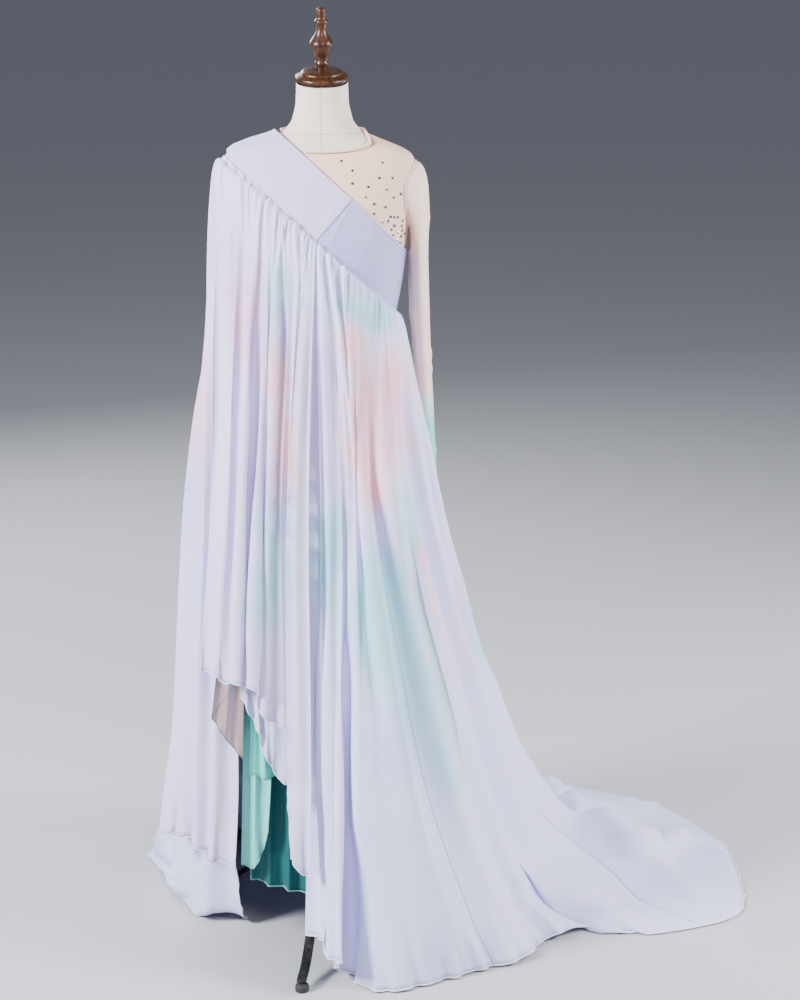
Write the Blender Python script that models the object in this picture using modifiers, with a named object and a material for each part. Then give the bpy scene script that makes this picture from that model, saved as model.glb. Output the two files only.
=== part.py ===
"""A dance gown on a dress form with a tripod stand.

Metres, +Z up, +X to the viewer's right, the front towards -Y. The stand's pole is the Z axis
while the pieces are made, and at the end everything is moved so that the origin lies under
the middle of the whole object's box.
"""

import math

import bpy
import numpy as np

for old in list(bpy.data.objects):
    bpy.data.objects.remove(old, do_unlink=True)

# Cloth thicknesses and the gap that touching pieces keep
CHIFFON = 0.0012
MESH_CLOTH = 0.0010
SATIN = 0.0020
GAP = 0.0003
SEAM_EASE = 0.0004

# Distance from the form's surface to the outer face of each layer
BODYSUIT_LIFT = 0.0014
SASH_LIFT = 0.0051
INNER_LIFT = 0.0046
MIDDLE_LIFT = 0.0068
PANEL_LIFT = 0.0056
PANEL_SEAT = 0.0025
FORM_INSET = 0.0050

# Gathers along the sash's lower edge, and what they become lower down
GATHER_PITCH = 0.0140
GATHER_DEPTH = 0.0045
GATHER_START = 0.0008
GATHER_FADE = 0.22
GATHER_GROWS = 0.02
GATHER_UNEVEN = 0.3
GATHER_BEATS = (0.061, 0.043)
DROP = 1.2
HEADING_BLEND = 0.03
HOLLOWS_FROM = 0.45
EASE = 0.004
EASE_GROWS = 0.04
HEADING_GAP = 0.0005
HEADING_SLANT = 0.0019
PUFF = 0.009
PUFF_DROP = 0.12
SHOULDER_PUFF = 0.015
SHOULDER_SPREAD = 16.0
SHOULDER_RISE = 0.005
HEM_WAVE = 0.0045
HEM_SHARE = 0.14
FLOOR_LEVEL = 0.0026

# The sash: a slanting band round the body, over the left shoulder and under the right arm
SASH_ACROSS = np.array([0.675, 0.0995, 0.731])
SASH_ALONG = np.array([0.735, 0.0, -0.678])
SASH_BACKWARDS = np.cross(SASH_ACROSS, SASH_ALONG)
SASH_LOW = 0.9405
SASH_HIGH = 1.0320
SASH_MIDDLE = (-0.908, -0.094)
SASH_PIPING = 0.0006
SASH_JOIN = 6.0

# The dress form
HIPS_BOTTOM = 0.770
NECK_TOP = 1.570
NECK_TILT = math.radians(11)
TILT_FROM = 1.500
ROUNDNESS = 2.2
# Columns: z, half width, depth in front, depth behind
FORM_SECTIONS = (
    (0.770, 0.144, 0.088, 0.098),
    (0.860, 0.155, 0.094, 0.108),
    (0.920, 0.147, 0.092, 0.104),
    (1.000, 0.126, 0.088, 0.088),
    (1.080, 0.111, 0.086, 0.078),
    (1.150, 0.119, 0.097, 0.080),
    (1.200, 0.129, 0.109, 0.086),
    (1.250, 0.138, 0.118, 0.091),
    (1.300, 0.146, 0.114, 0.094),
    (1.350, 0.154, 0.101, 0.093),
    (1.400, 0.160, 0.085, 0.087),
    (1.430, 0.161, 0.073, 0.079),
    (1.446, 0.154, 0.066, 0.073),
    (1.456, 0.137, 0.064, 0.070),
    (1.468, 0.105, 0.061, 0.067),
    (1.481, 0.073, 0.057, 0.063),
    (1.500, 0.055, 0.052, 0.056),
    (1.530, 0.047, 0.048, 0.051),
    (1.570, 0.0455, 0.047, 0.050),
)

# Heights of the rings that the form and the bodysuit share
LOW_LEVELS = (0.80, 0.86, 0.92, 1.0, 1.08, 1.15, 1.2, 1.26)
BODY_LEVELS = (*LOW_LEVELS, 1.315, 1.332, 1.36, 1.4, 1.43, 1.446, 1.456, 1.468)

# Bodysuit
NECKLINE_SIDE = 1.481
NECKLINE_FRONT_DROP = 0.030
DROP_FROM = 1.36
BINDING_RADIUS = 0.0026
ARMHOLE_Z = 1.375
ARMHOLE_HALF_HEIGHT = 0.060
ARMHOLE_HALF_DEPTH = 0.047
ARMHOLE_SEAM = 0.0016

# Sleeves, from the underarm to the cuff. The left one hangs further forward.
# Columns: z, centre x, half width, half depth, right sleeve's y, left sleeve's y
SLEEVE_SECTIONS = (
    (1.270, 0.1665, 0.0175, 0.048, 0.010, 0.000),
    (1.180, 0.1690, 0.0175, 0.047, 0.030, -0.006),
    (1.080, 0.1745, 0.0155, 0.042, 0.048, -0.012),
    (1.000, 0.1805, 0.0140, 0.038, 0.060, -0.016),
    (0.920, 0.1855, 0.0128, 0.034, 0.070, -0.020),
    (0.845, 0.1905, 0.0120, 0.030, 0.075, -0.024),
)

# Stand
POLE_RADIUS = 0.0125
HUB_Z = 0.150
HUB_RADIUS = 0.024
HUB_HEIGHT = 0.050
FOOT_BACK = 0.010
LEG_RADIUS = 0.0085
LEG_REACH = 0.296
LEG_BEARINGS = (-97.7, 22.3, 142.3)
FOOT_RADIUS = 0.0125
FOOT_HEIGHT = 0.014

# Cap and finial: radius and height up their own slanting axis
CAP_PROFILE = (
    (0.0000, 0.0000),
    (0.0400, 0.0000),
    (0.0450, 0.0025),
    (0.0465, 0.0070),
    (0.0450, 0.0112),
    (0.0400, 0.0125),
    (0.0362, 0.0135),
    (0.0360, 0.0165),
    (0.0340, 0.0190),
    (0.0120, 0.0205),
    (0.0000, 0.0205),
)
FINIAL_PROFILE = (
    (0.0000, 0.0000),
    (0.0108, 0.0000),
    (0.0104, 0.0070),
    (0.0120, 0.0090),
    (0.0122, 0.0125),
    (0.0102, 0.0150),
    (0.0106, 0.0200),
    (0.0150, 0.0300),
    (0.0190, 0.0400),
    (0.0196, 0.0425),
    (0.0206, 0.0445),
    (0.0202, 0.0475),
    (0.0160, 0.0540),
    (0.0105, 0.0630),
    (0.0080, 0.0740),
    (0.0082, 0.0790),
    (0.0114, 0.0815),
    (0.0114, 0.0855),
    (0.0084, 0.0880),
    (0.0076, 0.0900),
    (0.0076, 0.1040),
    (0.0062, 0.1065),
    (0.0000, 0.1065),
)

# Folds of the chiffon, in degrees and millimetres. Each row is a crest line: its place round the
# sash (0 front, 90 under the right arm, 180 back, 270 left shoulder), where it passes at the
# height of the hips and of the knees, then at the shin, along the floor and at the hem, and last
# the depth of the hollow that follows it.
MM = 0.001
HIP_Z = 850
KNEE_Z = 420
# Columns: round, hip (x, y), knee (x, y), shin (x, y, z), run (x, y, z), hem (x, y, z), hollow
SKIRT_FOLDS = (
    (-1, (-30, -140), (-27, -185), (-31, -220, 180), None, (-34, -240, 105), 12),
    (8, (-4, -155), (-8, -205), (-3, -250, 180), None, (-2, -285, 98), 16),
    (20, (35, -155), (32, -222), (31, -280, 170), None, (30, -318, 70), 14),
    (30, (53, -150), (50, -195), (50, -215, 120), None, (42, -223, 4), 0),
    (38, (62, -158), (90, -230), (112, -275, 120), None, (125, -295, 4), 4),
    (48, (75, -155), (153, -225), (225, -235, 120), None, (257, -218, 4), 10),
    (60, (115, -135), (205, -165), (290, -135, 120), None, (354, -155, 4), 14),
    (72, (157, -100), (249, -85), (330, -25, 120), None, (436, -41, 4), 30),
    (80, (187, -55), (284, 25), (385, 110, 110), (480, 40, 35), (610, -45, 4), 30),
    (90, (203, -2), (311, 150), (430, 330, 110), (585, 290, 45), (785, 60, 4), 34),
    (100, (150, 105), (270, 270), (395, 440, 110), (560, 430, 50), (800, 370, 4), 30),
    (112, (125, 150), (205, 335), (310, 480, 90), (450, 560, 45), (690, 620, 4), 28),
    (126, (85, 178), (120, 350), (180, 480, 80), (280, 600, 35), (480, 740, 4), 26),
    (142, (30, 188), (30, 345), (45, 460, 80), (90, 570, 30), (220, 745, 4), 26),
    (160, (-30, 185), (-60, 325), (-85, 420, 70), (-95, 510, 28), (-40, 705, 4), 26),
    (180, (-90, 168), (-140, 285), (-190, 370, 70), (-215, 440, 25), (-230, 615, 4), 24),
    (200, (-150, 142), (-205, 220), (-265, 290, 60), (-300, 350, 22), (-352, 495, 4), 20),
    (214, (-190, 118), (-238, 150), (-300, 195, 60), (-330, 240, 20), (-372, 350, 4), 16),
    (226, (-208, 95), (-242, 75), (-285, 100, 60), None, (-318, 200, 4), 14),
    (236, (-212, 72), (-222, 10), (-232, 5, 60), None, (-250, 42, 4), 12),
    (244, (-205, 50), (-185, -30), (-165, -18, 60), None, (-155, 24, 4), 0),
)
CAPE_SIDE_FOLDS = (
    (200, (-135, 185), (-190, 262), (-215, 305, 290), None, (-222, 318, 225), 20),
    (215, (-192, 155), (-258, 205), (-282, 228, 280), None, (-288, 236, 210), 20),
    (228, (-228, 112), (-282, 128), (-302, 138, 270), None, (-310, 142, 198), 18),
    (240, (-244, 58), (-284, 58), (-304, 60, 270), None, (-313, 62, 190), 16),
    (252, (-247, 5), (-281, -5), (-299, -10, 270), None, (-307, -12, 188), 18),
    (261, (-236, -45), (-260, -58), (-270, -62, 270), None, (-274, -64, 201), 18),
    (268.5, (-214, -85), (-232, -96), (-238, -102, 260), None, (-240, -106, 192), 16),
    (274, (-188, -108), (-198, -118), (-202, -122, 250), None, (-204, -126, 177), 10),
    (277.6, (-160, -118), (-156, -124), (-160, -127, 250), None, (-163, -130, 164), 0),
)
CAPE_FRONT_FOLDS = (
    (278.3, (-196, -140), None, (-208, -160, 680), None, (-217, -172, 556), 8),
    (291, (-166, -156), None, (-178, -177, 680), None, (-184, -190, 547), 12),
    (303, (-138, -160), None, (-146, -185, 680), None, (-150, -202, 540), 12),
    (314, (-114, -160), None, (-120, -185, 670), None, (-124, -203, 531), 12),
    (326, (-92, -161), None, (-95, -185, 630), None, (-99, -196, 472), 10),
    (339, (-71, -158), None, (-69, -180, 630), None, (-67, -190, 462), 8),
    (353, (-50, -148), None, (-47, -168, 620), None, (-46, -176, 455), 0),
)
CASCADE_FOLDS = (
    (314, (-120, -128), None, (-136, -146, 660), None, (-146, -158, 500), 4),
    (325, (-98, -130), None, (-116, -150, 600), None, (-118, -166, 440), 4),
    (337, (-78, -130), None, (-88, -152, 550), None, (-90, -170, 366), 4),
    (349, (-56, -128), None, (-60, -150, 550), None, (-60, -166, 346), 0),
)
OVERLAY_FOLDS = (
    (357, (-60, -168), (-64, -212), (-61, -238, 330), None, (-58, -256, 236), 4),
    (361.5, (-43, -172), (-42, -222), (-41, -250, 320), None, (-40, -268, 222), 4),
    (366, (-25, -170), (-21, -222), (-22, -252, 310), None, (-23, -270, 208), 0),
)

# Panels seen in the slit, in degrees and millimetres. Each hangs from the bodysuit at PANEL_TOP.
PANEL_TOP = 0.97
PANEL_BLEND = 0.05
# Columns: round the form from the front, middle (x, y, z), low (x, y, z), hem (x, y, z), hollow
PEACH_FOLDS = (
    (-50, (-148, -130, 760), (-184, -144, 580), (-200, -150, 462), 8),
    (-43, (-138, -132, 760), (-163, -148, 580), (-176, -154, 425), 8),
    (-36, (-126, -132, 760), (-139, -146, 580), (-146, -150, 386), 0),
)
MINT_SHORT_FOLDS = (
    (-37, (-118, -122, 700), (-130, -134, 500), (-134, -140, 352), 10),
    (-25, (-92, -126, 700), (-104, -140, 500), (-106, -148, 345), 12),
    (-13, (-62, -124, 700), (-70, -138, 500), (-74, -144, 352), 0),
)
MINT_LONG_FOLDS = (
    (-37, (-128, -100, 680), (-146, -108, 400), (-154, -112, 168), 8),
    (-25, (-105, -105, 680), (-124, -114, 400), (-130, -120, 166), 10),
    (-13, (-78, -106, 680), (-94, -116, 400), (-104, -124, 235), 0),
)
SLIP_FOLDS = (
    (-44, (-118, -80, 680), (-132, -84, 400), (-139, -88, 130), 10),
    (-28, (-88, -90, 680), (-100, -98, 400), (-108, -104, 124), 12),
    (-12, (-48, -96, 680), (-62, -108, 400), (-70, -116, 118), 10),
    (4, (-8, -96, 680), (-24, -110, 400), (-30, -120, 112), 0),
)

gown = bpy.data.collections.new("dance_gown")
bpy.context.scene.collection.children.link(gown)


# Materials and objects
def material(name, colour, roughness, metallic=0.0):
    made = bpy.data.materials.new(name)
    made.use_nodes = True
    shader = made.node_tree.nodes["Principled BSDF"]
    shader.inputs["Base Color"].default_value = (*colour, 1)
    shader.inputs["Roughness"].default_value = roughness
    shader.inputs["Metallic"].default_value = metallic
    return made


chiffon = material("white_lavender_chiffon", (0.86, 0.85, 0.93), 0.75)
satin = material("white_satin", (0.88, 0.87, 0.93), 0.45)
nude_mesh = material("nude_mesh", (0.90, 0.78, 0.70), 0.70)
peach = material("peach_chiffon", (0.92, 0.80, 0.74), 0.75)
mint = material("mint_chiffon", (0.42, 0.85, 0.74), 0.75)
teal = material("teal_chiffon", (0.20, 0.66, 0.58), 0.75)
linen = material("cream_linen", (0.86, 0.82, 0.77), 0.85)
walnut = material("walnut_varnish", (0.16, 0.06, 0.025), 0.25)
black_steel = material("black_steel", (0.012, 0.012, 0.013), 0.40, 0.6)
rubber = material("black_rubber", (0.02, 0.02, 0.02), 0.80)


def place(name, mesh, finish):
    made = bpy.data.objects.new(name, mesh)
    mesh.materials.append(finish)
    gown.objects.link(made)
    return made


def move_to_gown(made, name, finish):
    """Takes an object that an operator has just made into the gown's collection."""
    made.name = name
    made.data.materials.append(finish)
    for holder in list(made.users_collection):
        holder.objects.unlink(made)
    gown.objects.link(made)
    return made


def wall(name, rows, finish, thickness, closed=False):
    """A sheet through a grid of points on its outer face, given its thickness inwards."""
    rows = np.asarray(rows, float)
    down, across = rows.shape[:2]
    faces = []
    for i in range(down - 1):
        for j in range(across if closed else across - 1):
            k = (j + 1) % across
            faces.append((i * across + j, (i + 1) * across + j, (i + 1) * across + k, i * across + k))
    mesh = bpy.data.meshes.new(name)
    mesh.from_pydata([tuple(p) for p in rows.reshape(-1, 3)], [], faces)
    mesh.update()
    made = place(name, mesh, finish)
    solid = made.modifiers.new("thickness", "SOLIDIFY")
    solid.thickness = thickness
    solid.offset = -1
    solid.use_even_offset = False
    mesh.shade_smooth()
    return made


def loft(name, outer, inwards, finish):
    """A wall between two grids, for gores whose edges have to stay parallel along a seam."""
    down, across = outer.shape[:2]
    points = np.concatenate([outer.reshape(-1, 3), (outer - inwards).reshape(-1, 3)])
    number = np.arange(2 * down * across).reshape(2, down, across)
    faces = []
    for i in range(down - 1):
        for j in range(across - 1):
            a, b, c, d = number[0, i, j], number[0, i + 1, j], number[0, i + 1, j + 1], number[0, i, j + 1]
            back = down * across
            faces += [(a, b, c, d), (a + back, d + back, c + back, b + back)]
    rim = [*number[0, :, 0], *number[0, -1, 1:], *number[0, -2::-1, -1], *number[0, 0, -2:0:-1]]
    for a, b in zip(rim, rim[1:] + rim[:1]):
        faces.append((b, a, a + down * across, b + down * across))
    mesh = bpy.data.meshes.new(name)
    mesh.from_pydata([tuple(p) for p in points], [], [tuple(map(int, face)) for face in faces])
    mesh.update()
    mesh.shade_smooth()
    return place(name, mesh, finish)


# The dress form's surface
FINE_Z = np.linspace(HIPS_BOTTOM, NECK_TOP, 401)
SMOOTHING = np.ones(7) / 7


def fine_column(column):
    z, value = np.array(FORM_SECTIONS)[:, 0], np.array(FORM_SECTIONS)[:, column]
    fine = np.interp(FINE_Z, z, value)
    inner = np.convolve(np.pad(fine, 3, mode="edge"), SMOOTHING, mode="valid")
    return inner


HALF_WIDTH, FRONT, BACK = fine_column(1), fine_column(2), fine_column(3)


def form_point(angle, z):
    """A point of the form's surface: angle from the front towards +X, in radians."""
    power = 2 / ROUNDNESS
    s, c = np.sin(angle), np.cos(angle)
    depth = np.where(c > 0, np.interp(z, FINE_Z, FRONT), np.interp(z, FINE_Z, BACK))
    x = np.interp(z, FINE_Z, HALF_WIDTH) * np.sign(s) * np.abs(s) ** power
    y = -depth * np.sign(c) * np.abs(c) ** power
    return np.stack(np.broadcast_arrays(x, y, z), axis=-1)


def form_field(p):
    """Below 0 inside the form and above 0 outside."""
    width = np.interp(p[..., 2], FINE_Z, HALF_WIDTH)
    deep = np.where(p[..., 1] < 0, np.interp(p[..., 2], FINE_Z, FRONT), np.interp(p[..., 2], FINE_Z, BACK))
    total = np.abs(p[..., 0] / width) ** ROUNDNESS + np.abs(p[..., 1] / deep) ** ROUNDNESS
    return total ** (1 / ROUNDNESS) - 1


def form_distance(p):
    """About how far p lies outside the form, and the direction away from it."""
    step = 5e-4
    slope = np.stack(
        [form_field(p + step * axis) - form_field(p - step * axis) for axis in np.eye(3)], axis=-1
    ) / (2 * step)
    size = np.linalg.norm(slope, axis=-1)
    return form_field(p) / size, slope / size[..., None]


def off_form(p, lift):
    """Moves points outwards, where they lie nearer the form than lift."""
    p = np.array(p, float)
    for _ in range(4):
        distance, away = form_distance(p)
        short = np.clip(lift - distance, 0, None) * (p[..., 2] > HIPS_BOTTOM)
        p = p + short[..., None] * away
    return p


def lifted(angle, z, lift):
    p = form_point(angle, z)
    away = form_distance(p)[1]
    return p + lift * away


def round_sash(degrees, across, lift):
    """A point on the form where the sash's plane at `across` meets the ray at this angle."""
    turn = np.radians(degrees)
    outwards = np.sin(turn)[..., None] * SASH_ALONG - np.cos(turn)[..., None] * SASH_BACKWARDS
    middle = np.asarray(across)[..., None] * SASH_ACROSS
    middle = middle + SASH_MIDDLE[0] * SASH_ALONG + SASH_MIDDLE[1] * SASH_BACKWARDS
    near = np.zeros(outwards.shape[:-1])
    far = np.full(outwards.shape[:-1], 0.40)
    for _ in range(26):
        half = (near + far) / 2
        inside = form_distance(middle + half[..., None] * outwards)[0] < lift
        near = np.where(inside, half, near)
        far = np.where(inside, far, half)
    return middle + far[..., None] * outwards


def shoulder_rise(degrees):
    """The sash and what hangs from it bridge the left shoulder's end a little."""
    return SHOULDER_RISE * np.exp(-(((np.asarray(degrees) - 270) / SHOULDER_SPREAD) ** 2))


# Lengths along the sash's lower edge, from the front
ROUND = np.linspace(-90, 450, 1081)
HEADING = round_sash(ROUND, np.full(ROUND.shape, SASH_LOW), 0.0)
STEPS = np.linalg.norm(np.diff(HEADING, axis=0), axis=1)
HEADING_LENGTH = np.concatenate([[0], np.cumsum(STEPS)])


def heading_length(degrees):
    return np.interp(degrees, ROUND, HEADING_LENGTH)


def heading(degrees, lift):
    """The chiffon's top edge, just below the sash: further where both walls slant in their thickness."""
    degrees = np.asarray(degrees, float)
    lift = lift + shoulder_rise(degrees)
    edge = round_sash(degrees, np.full(degrees.shape, SASH_LOW), lift)
    slant = np.abs(form_distance(edge)[1] @ SASH_ACROSS)
    return round_sash(degrees, SASH_LOW - HEADING_GAP - HEADING_SLANT * slant, lift)


def spline(points, steps=12):
    """A smooth curve through the points."""
    points = np.asarray(points, float)
    ends = np.concatenate([[2 * points[0] - points[1]], points, [2 * points[-1] - points[-2]]])
    t = np.linspace(0, 1, steps, endpoint=False)[:, None]
    runs = []
    for a, b, c, d in zip(ends, ends[1:], ends[2:], ends[3:]):
        slope_b, slope_c = (c - a) / 2, (d - b) / 2
        h = (2 * t**3 - 3 * t**2 + 1) * b + (t**3 - 2 * t**2 + t) * slope_b
        runs.append(h + (3 * t**2 - 2 * t**3) * c + (t**3 - t**2) * slope_c)
    return np.concatenate(runs + [points[-1:]])


def along(points, fractions):
    """Points at these fractions of a curve's length."""
    length = np.concatenate([[0], np.cumsum(np.linalg.norm(np.diff(points, axis=0), axis=1))])
    wanted = np.array(fractions) * length[-1]
    return np.stack([np.interp(wanted, length, points[:, k]) for k in range(3)], -1)


def crest_line(fold, lift, fractions):
    degrees, hip, knee, shin, run, hem, _ = fold
    top = heading(degrees, lift)
    hip_point = MM * np.array([*hip, HIP_Z])
    away = form_distance(top)[1] * np.array([1, 1, 0])
    puff = PUFF + SHOULDER_PUFF * math.exp(-(((degrees - 270) / SHOULDER_SPREAD) ** 2))
    puffed = top + PUFF_DROP * (hip_point - top) + puff * away
    lower = [(*knee, KNEE_Z)] if knee else []
    lower = lower + [point for point in (shin, run, hem) if point]
    return along(spline([top, puffed, hip_point, *(MM * np.array(lower))]), fractions)


def panel_line(fold, lift, fractions):
    degrees, middle, low, hem, _ = fold
    top = lifted(np.radians(degrees), np.array(PANEL_TOP), lift)
    return along(spline([top, *(MM * np.array([middle, low, hem]))]), fractions)


def across_rows(lines, place_between):
    """Blends the crest lines smoothly: place_between runs from 0 at the first line."""
    count = len(lines)
    i = np.clip(np.floor(place_between).astype(int), 0, count - 2)
    t = (place_between - i)[None, :, None]
    lines = np.array(lines)
    a, b = lines[np.maximum(i - 1, 0)], lines[i]
    c, d = lines[i + 1], lines[np.minimum(i + 2, count - 1)]
    a, b, c, d = (x.transpose(1, 0, 2) for x in (a, b, c, d))
    slope_b, slope_c = (c - a) / 2, (d - b) / 2
    blend = (2 * t**3 - 3 * t**2 + 1) * b + (t**3 - 2 * t**2 + t) * slope_b
    return blend + (3 * t**2 - 2 * t**3) * c + (t**3 - t**2) * slope_c


def outward_normals(grid):
    down = np.gradient(grid, axis=0)
    across = np.gradient(grid, axis=1)
    normal = np.cross(down, across)
    return normal / (np.linalg.norm(normal, axis=-1)[..., None] + 1e-12)


def hollows(folds, place_between, fractions):
    """How far the cloth lies back between two crests, over the whole grid."""
    depth = MM * np.array([fold[-1] for fold in folds], float)
    i = np.clip(np.floor(place_between).astype(int), 0, len(folds) - 2)
    t = place_between - i
    wave = (1 - np.cos(2 * np.pi * t)) / 2
    v = np.array(fractions)
    grown = np.clip(v / HOLLOWS_FROM, 0, 1) ** 1.3
    return grown[:, None] * (depth[i] * wave)[None, :]


def draped(folds, lift, fractions, degrees, waves=1.0):
    """The outer face of gathered chiffon between the folds' crests, for columns at these degrees."""
    lines = [crest_line(fold, lift, fractions) for fold in folds]
    lengths = heading_length(degrees)
    row_lengths = heading_length(np.array([fold[0] for fold in folds], float))
    place_between = np.interp(lengths, row_lengths, np.arange(len(folds)))
    grid = across_rows(lines, place_between)
    v = np.array(fractions)
    grid += np.exp(-v / HEADING_BLEND)[:, None, None] * (heading(degrees, lift) - grid[0])
    grid -= outward_normals(grid) * hollows(folds, place_between, fractions)[..., None]
    fallen = v * DROP
    size = GATHER_START + (GATHER_DEPTH - GATHER_START) * (1 - np.exp(-fallen / GATHER_GROWS))
    size = size * np.exp(-fallen / GATHER_FADE)
    hem = HEM_WAVE * waves * np.clip((v - 1 + HEM_SHARE) / HEM_SHARE, 0, 1) ** 2
    phase = (1 - np.cos(2 * np.pi * lengths / GATHER_PITCH)) / 2
    beat = np.prod([np.sin(2 * np.pi * lengths / length) for length in GATHER_BEATS], axis=0)
    phase *= 1 - GATHER_UNEVEN * (1 - beat)
    grid += outward_normals(grid) * ((size + hem)[:, None] * phase[None, :])[..., None]
    ease = EASE * (1 - np.exp(-fallen / EASE_GROWS))
    held = lift + ease[:, None] + (size[:, None] * phase[None, :])
    grid = off_form(grid, held)
    grid[..., 2] = np.maximum(grid[..., 2], FLOOR_LEVEL)
    return grid


def columns_between(first, last):
    """Degrees of the gathers' crests and hollows between two places round the sash."""
    a, b = heading_length(first), heading_length(last)
    half = GATHER_PITCH / 2
    steps = np.arange(math.ceil(a / half + 0.35), math.floor(b / half - 0.35) + 1) * half
    lengths = np.concatenate([[a], steps, [b]])
    return np.interp(lengths, HEADING_LENGTH, ROUND)


LONG_ROWS = (0, 0.012, 0.04, 0.10, 0.19, 0.31, 0.44, 0.57, 0.70, 0.82, 0.91, 0.965, 1)
CAPE_ROWS = (0, 0.012, 0.04, 0.10, 0.21, 0.36, 0.53, 0.70, 0.86, 0.95, 1)
FLAP_ROWS = (0, 0.015, 0.05, 0.12, 0.25, 0.42, 0.62, 0.82, 0.94, 1)


def place_of(folds, row):
    """The degrees at a row number, which may lie between two rows."""
    return float(np.interp(row, np.arange(len(folds)), [fold[0] for fold in folds]))


# Skirt gores, each from one hollow to another
SKIRT_GORES = (
    ("skirt_front_left", 0.0, 2.5),
    ("skirt_front", 2.5, 5.5),
    ("skirt_side", 5.5, 8.5),
    ("train_right", 8.5, 10.5),
    ("train_corner", 10.5, 12.5),
    ("train_back", 12.5, 14.5),
    ("skirt_back", 14.5, 16.5),
    ("skirt_left", 16.5, 20.0),
)
gore_columns = []
for _, first, last in SKIRT_GORES:
    gore_columns.append(columns_between(place_of(SKIRT_FOLDS, first), place_of(SKIRT_FOLDS, last))[:-1])
skirt = draped(SKIRT_FOLDS, INNER_LIFT, LONG_ROWS, np.concatenate([*gore_columns, SKIRT_FOLDS[-1][:1]]))
outwards = outward_normals(skirt)
seams = np.cumsum([0] + [len(degrees) for degrees in gore_columns])
for (name, _, _), first, last in zip(SKIRT_GORES, seams, seams[1:]):
    gore = skirt[:, first : last + 1].copy()
    for edge, beside in ((0, 1), (-1, -2)):
        inwards = gore[:, beside] - gore[:, edge]
        gore[:, edge] += SEAM_EASE * inwards / np.linalg.norm(inwards, axis=-1)[:, None]
    loft(name, gore, CHIFFON * outwards[:, first : last + 1], chiffon)

# Cape, cascade and overlay strip
for name, folds, lift, fractions, waves in (
    ("cape_side", CAPE_SIDE_FOLDS, MIDDLE_LIFT, CAPE_ROWS, 0.8),
    ("cape_front", CAPE_FRONT_FOLDS, MIDDLE_LIFT, FLAP_ROWS, 0.2),
    ("cape_cascade", CASCADE_FOLDS, INNER_LIFT, FLAP_ROWS, 0.2),
    ("overlay_strip", OVERLAY_FOLDS, MIDDLE_LIFT, CAPE_ROWS, 0.2),
):
    degrees = columns_between(folds[0][0], folds[-1][0])
    wall(name, draped(folds, lift, fractions, degrees, waves), chiffon, CHIFFON)


# Panels seen in the slit
def panel(name, folds, lift, finish, columns=9, fractions=(0, 0.1, 0.25, 0.42, 0.6, 0.8, 0.93, 1)):
    lines = [panel_line(fold, lift, fractions) for fold in folds]
    place_between = np.linspace(0, len(folds) - 1, columns)
    grid = across_rows(lines, place_between)
    degrees = np.interp(place_between, np.arange(len(folds)), [fold[0] for fold in folds])
    top = lifted(np.radians(degrees), np.full(columns, PANEL_TOP), lift - PANEL_SEAT)
    grid += np.exp(-np.array(fractions) / PANEL_BLEND)[:, None, None] * (top - grid[0])
    grid -= outward_normals(grid) * hollows(folds, place_between, fractions)[..., None]
    grid[1:] = off_form(grid[1:], lift)
    wall(name, grid, finish, CHIFFON)


panel("peach_panel", PEACH_FOLDS, PANEL_LIFT + 3 * (CHIFFON + GAP), peach)
panel("mint_short_panel", MINT_SHORT_FOLDS, PANEL_LIFT + 2 * (CHIFFON + GAP), mint)
panel("mint_long_panel", MINT_LONG_FOLDS, PANEL_LIFT + CHIFFON + GAP, mint)
panel("teal_slip_panel", SLIP_FOLDS, PANEL_LIFT, teal, columns=13)


# Sash, with a raised line along both edges. Each row's share of the width, and 1 where it is raised
SASH_ROWS = ((1, 1), (0.96, 1), (0.93, 0), (0.72, 0), (0.50, 0), (0.28, 0), (0.07, 0), (0.04, 1), (0, 1))


def sash(name, first, last, columns):
    degrees = np.linspace(first, last, columns)
    rows = []
    for share, raised in SASH_ROWS:
        across = np.full(columns, SASH_LOW + share * (SASH_HIGH - SASH_LOW))
        lift = SASH_LIFT + shoulder_rise(degrees) + raised * SASH_PIPING
        rows.append(round_sash(degrees, across, lift))
    wall(name, rows, satin, SATIN)


JOINT_TURN = 0.25
sash("sash_front_upper", 271, 360 + SASH_JOIN - JOINT_TURN, 16)
sash("sash_front_lower", SASH_JOIN + JOINT_TURN, 95, 13)
sash("sash_back", 95 + 2 * JOINT_TURN, 271 - 2 * JOINT_TURN, 25)


# Bodysuit
def neckline(angle):
    front = np.clip(np.cos(angle), 0, 1)
    return NECKLINE_SIDE - NECKLINE_FRONT_DROP * front**1.5


def side_edge(z):
    """How far from the side seam's plane the panel ends: more than a gap only at the armhole."""
    reach = 1 - ((z - ARMHOLE_Z) / ARMHOLE_HALF_HEIGHT) ** 2
    return ARMHOLE_HALF_DEPTH * math.sqrt(max(reach, 0)) + GAP


def bodysuit_panel(name, facing, columns=13):
    rows = []
    for level in (*BODY_LEVELS, NECKLINE_SIDE):
        edge = side_edge(level)
        deep = float(np.interp(level, FINE_Z, FRONT if facing > 0 else BACK))
        reach = math.acos(min(edge / deep, 1) ** (ROUNDNESS / 2))
        angle = np.linspace(-reach, reach, columns)
        drop = (NECKLINE_SIDE - neckline(angle)) if facing > 0 else np.zeros(columns)
        share = np.clip((level - DROP_FROM) / (NECKLINE_SIDE - DROP_FROM), 0, 1)
        height = level - drop * share
        turn = angle if facing > 0 else angle + math.pi
        rows.append(lifted(turn, height, BODYSUIT_LIFT))
    wall(name, rows[::-1], nude_mesh, MESH_CLOTH)


bodysuit_panel("bodysuit_front", 1)
bodysuit_panel("bodysuit_back", -1)


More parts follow.
